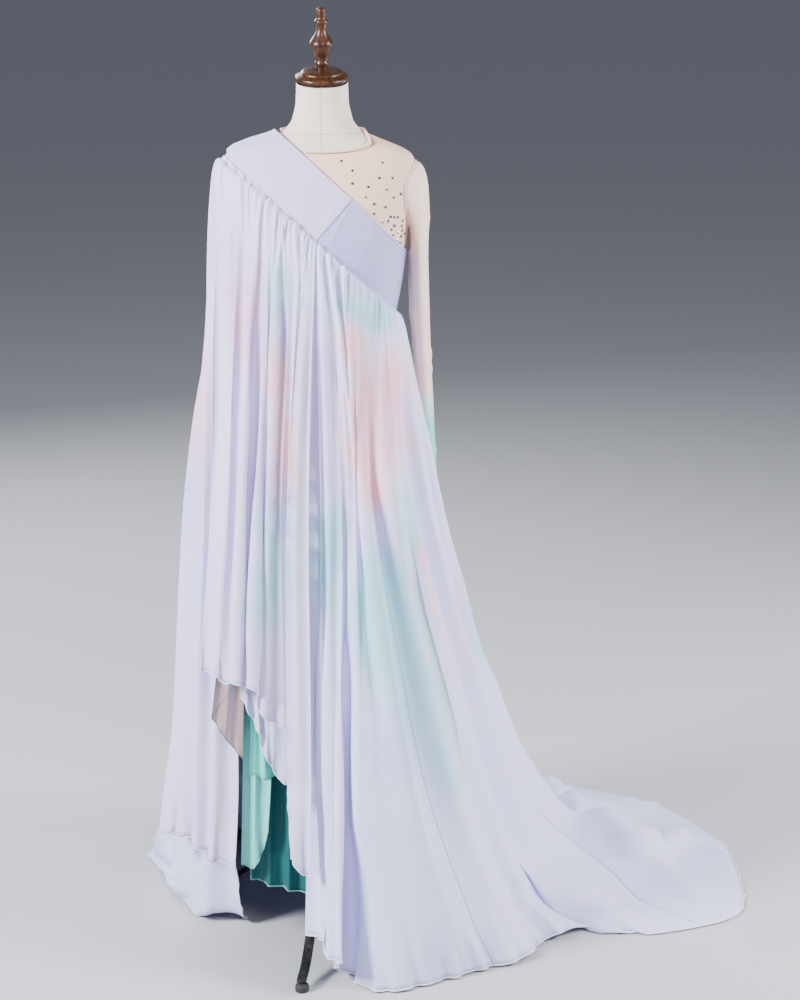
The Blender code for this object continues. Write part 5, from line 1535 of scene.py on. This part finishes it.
skirt_run = np.linspace(heading_length(crests[0]), heading_length(crests[-1]), skirt.shape[1])
for name, node, first, last in SKIRT_GORES:
    ends = np.interp([first, last], np.arange(len(crests)), crests)
    start, end = (int(np.argmin(np.abs(skirt_run - heading_length(e)))) for e in ends)
    gore = skirt[:, start : end + 1]
    made = grid_piece(name, gore, skirt_chiffon, CHIFFON_CLOTH, colours=dyed(gore, *SKIRT_DYE))
    finish_piece(made, "ombre_chiffon", node)
    cloth_sheet(gore)
SKIRT_HEM, SKIRT_EDGE, HEM_RAISED = 0.0014, 0.0011, np.array([0, 0, 0.0004])
edge_hem("skirt_hem", skirt[-1] + HEM_RAISED, SKIRT_HEM, white_hem, "ombre_chiffon")
edge_hem("skirt_slit_edge", skirt[:, 0], SKIRT_EDGE, white_hem, "ombre_chiffon")
edge_hem("skirt_left_edge", skirt[:, -1], SKIRT_EDGE, white_hem, "ombre_chiffon")

# Cape, its front flap, the cascade and the overlay strip
# Sheerer lengths of the same chiffon, gathered into the band over the left shoulder and beside
# the slit. Their edges are rolled and stitched.
CAPE, SHEER = (cape_chiffon, CAPE_DYE), (overlay_chiffon, OVERLAY_DYE)
# Columns: name, node, folds, lift, rows, creases, seed, finish and dye, how far its side edges wave
LOOSE_PIECES = (
    ("chiffon_cape_side", "cape_side", CAPE_FOLDS, MIDDLE_LIFT, 130, CAPE_CREASES, 5, CAPE, (0.002, 0)),
    ("chiffon_cape_front", "cape_front", FLAP_FOLDS, MIDDLE_LIFT, 130, FLAP_CREASES, 6, CAPE, (0, 0.0035)),
    ("chiffon_cascade", "cape_cascade", INSIDE_FOLDS, INNER_LIFT, 110, THIN_CREASES, 7, SHEER, (0.002,) * 2),
    ("chiffon_overlay", "overlay_strip", STRIP_FOLDS, MIDDLE_LIFT, 120, THIN_CREASES, 8, SHEER, (0.0055, 0)),
)
LOOSE_RIPPLE, LOOSE_SCALLOP = 0.0055, 0.0045
LOOSE_HEM, LOOSE_EDGE = 0.0012, 0.0008
for name, node, folds, lift, rows, creases, seed, (finish, dye), edges in LOOSE_PIECES:
    grid = draped(
        folds, lift, rows, creases, seed, ripple=LOOSE_RIPPLE, scallop=LOOSE_SCALLOP, edges=edges
    )
    made = grid_piece(name, grid, finish, CHIFFON_CLOTH, colours=dyed(grid, *dye))
    finish_piece(made, "ombre_chiffon", node)
    cloth_sheet(grid)
    hems_round(node, grid, LOOSE_HEM, LOOSE_EDGE, white_hem, "ombre_chiffon")

# Slit panels
# Narrow lengths in peach, mint and teal, sewn to the bodysuit under the skirt's edge. The peach
# one has a dark green rolled edge.
PANEL_TOP = 0.97
PANEL_LIFT = 0.0056
PANEL_SEAT = 0.0025
PANEL_STEP = 0.0015


def panel_line(fold, lift, fractions):
    """A panel's fold from the bodysuit to its hem."""
    degrees, middle, low, hem, _ = fold
    top = lifted(np.radians(degrees), np.array(PANEL_TOP), lift)
    return along(spline([top, *(MM * np.array([middle, low, hem]))]), fractions)


def panel_grid(folds, lift, seed, crimp, columns=72, rows=90):
    """A panel's outer face, with small uneven folds as deep as crimp."""
    v = np.linspace(0, 1, rows)
    lines = [panel_line(fold, lift, v) for fold in folds]
    place_between = np.linspace(0, len(folds) - 1, columns)
    grid = across_rows(lines, place_between)
    degrees = np.interp(place_between, np.arange(len(folds)), [fold[0] for fold in folds])
    top = lifted(np.radians(degrees), np.full(columns, PANEL_TOP), lift - PANEL_SEAT)
    grid += np.exp(-v / 0.05)[:, None, None] * (top - grid[0])
    grid -= outward_normals(grid) * hollows(folds, place_between, v, (0.8, 1.2))[..., None]
    draw = np.random.default_rng(seed)
    raised = hem_ripples(grid, v, 0.002, seed)
    for centre in np.arange(0.06, 1.0, 0.115):
        middle = centre + draw.normal(0, 0.02) + draw.normal(0, 0.03) * v
        width = draw.uniform(0.030, 0.055)
        off = (np.linspace(0, 1, columns)[None, :] - middle[:, None]) / width
        raised += crimp * draw.uniform(-1, 1) * np.clip(v * 4, 0.1, 1)[:, None] * np.exp(-(off**2))
    grid += outward_normals(grid) * raised[..., None]
    grid[1:] = off_form(grid[1:], lift)
    return grid


PEACH = (peach_chiffon, PEACH_DYE_AND_SHADE, "peach_chiffon", green_hem)
MINT = (mint_chiffon, MINT_DYE, "mint_chiffon", mint_hem)
PALE_MINT = (mint_sheer, MINT_SHEER_DYE, "mint_chiffon", mint_hem)
TEAL = (teal_chiffon, TEAL_DYE_AND_SHADE, "teal_chiffon", mint_hem)
# Columns: name, node, folds, layers under it, its looks, depth of its small folds
SLIT_PANELS = (
    ("chiffon_peach", "peach_panel", PEACH_FOLDS, 3, PEACH, 0.0008),
    ("chiffon_mint_short", "mint_short_panel", MINT_SHORT_FOLDS, 2, MINT, 0.0028),
    ("chiffon_mint_long", "mint_long_panel", MINT_LONG_FOLDS, 1, PALE_MINT, 0.0016),
    ("chiffon_teal_slip", "teal_slip_panel", SLIP_FOLDS, 0, TEAL, 0.0035),
)
PANEL_HEM, PANEL_EDGE = 0.0009, 0.0007
TURNED_ROWS = 26
for name, node, folds, layer, (finish, dye, slot, hem), crimp in SLIT_PANELS:
    grid = panel_grid(folds, PANEL_LIFT + layer * PANEL_STEP, 20 + layer, crimp)
    made = grid_piece(name, grid, finish, CHIFFON_CLOTH, colours=dyed(grid, *dye))
    finish_piece(made, slot, node)
    cloth_sheet(grid)
    hems_round(node, grid, PANEL_HEM, PANEL_EDGE, hem, slot)
    if node == "peach_panel":
        # A second layer's edge shows through the sheer one, slanting up from the same corner
        cut = np.arange(0, grid.shape[1])
        rows = np.round(len(grid) - 1 - cut / cut[-1] * TURNED_ROWS).astype(int)
        turned = spline(grid[rows, cut][::6], steps=6)
        edge_hem(f"{node}_turned_edge", turned, PANEL_EDGE, hem, slot)

scene_low, scene_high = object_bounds()
sizes = {
    "cad": [list(cad_low), list(cad_high)],
    "scene": [list(scene_low), list(scene_high)],
}
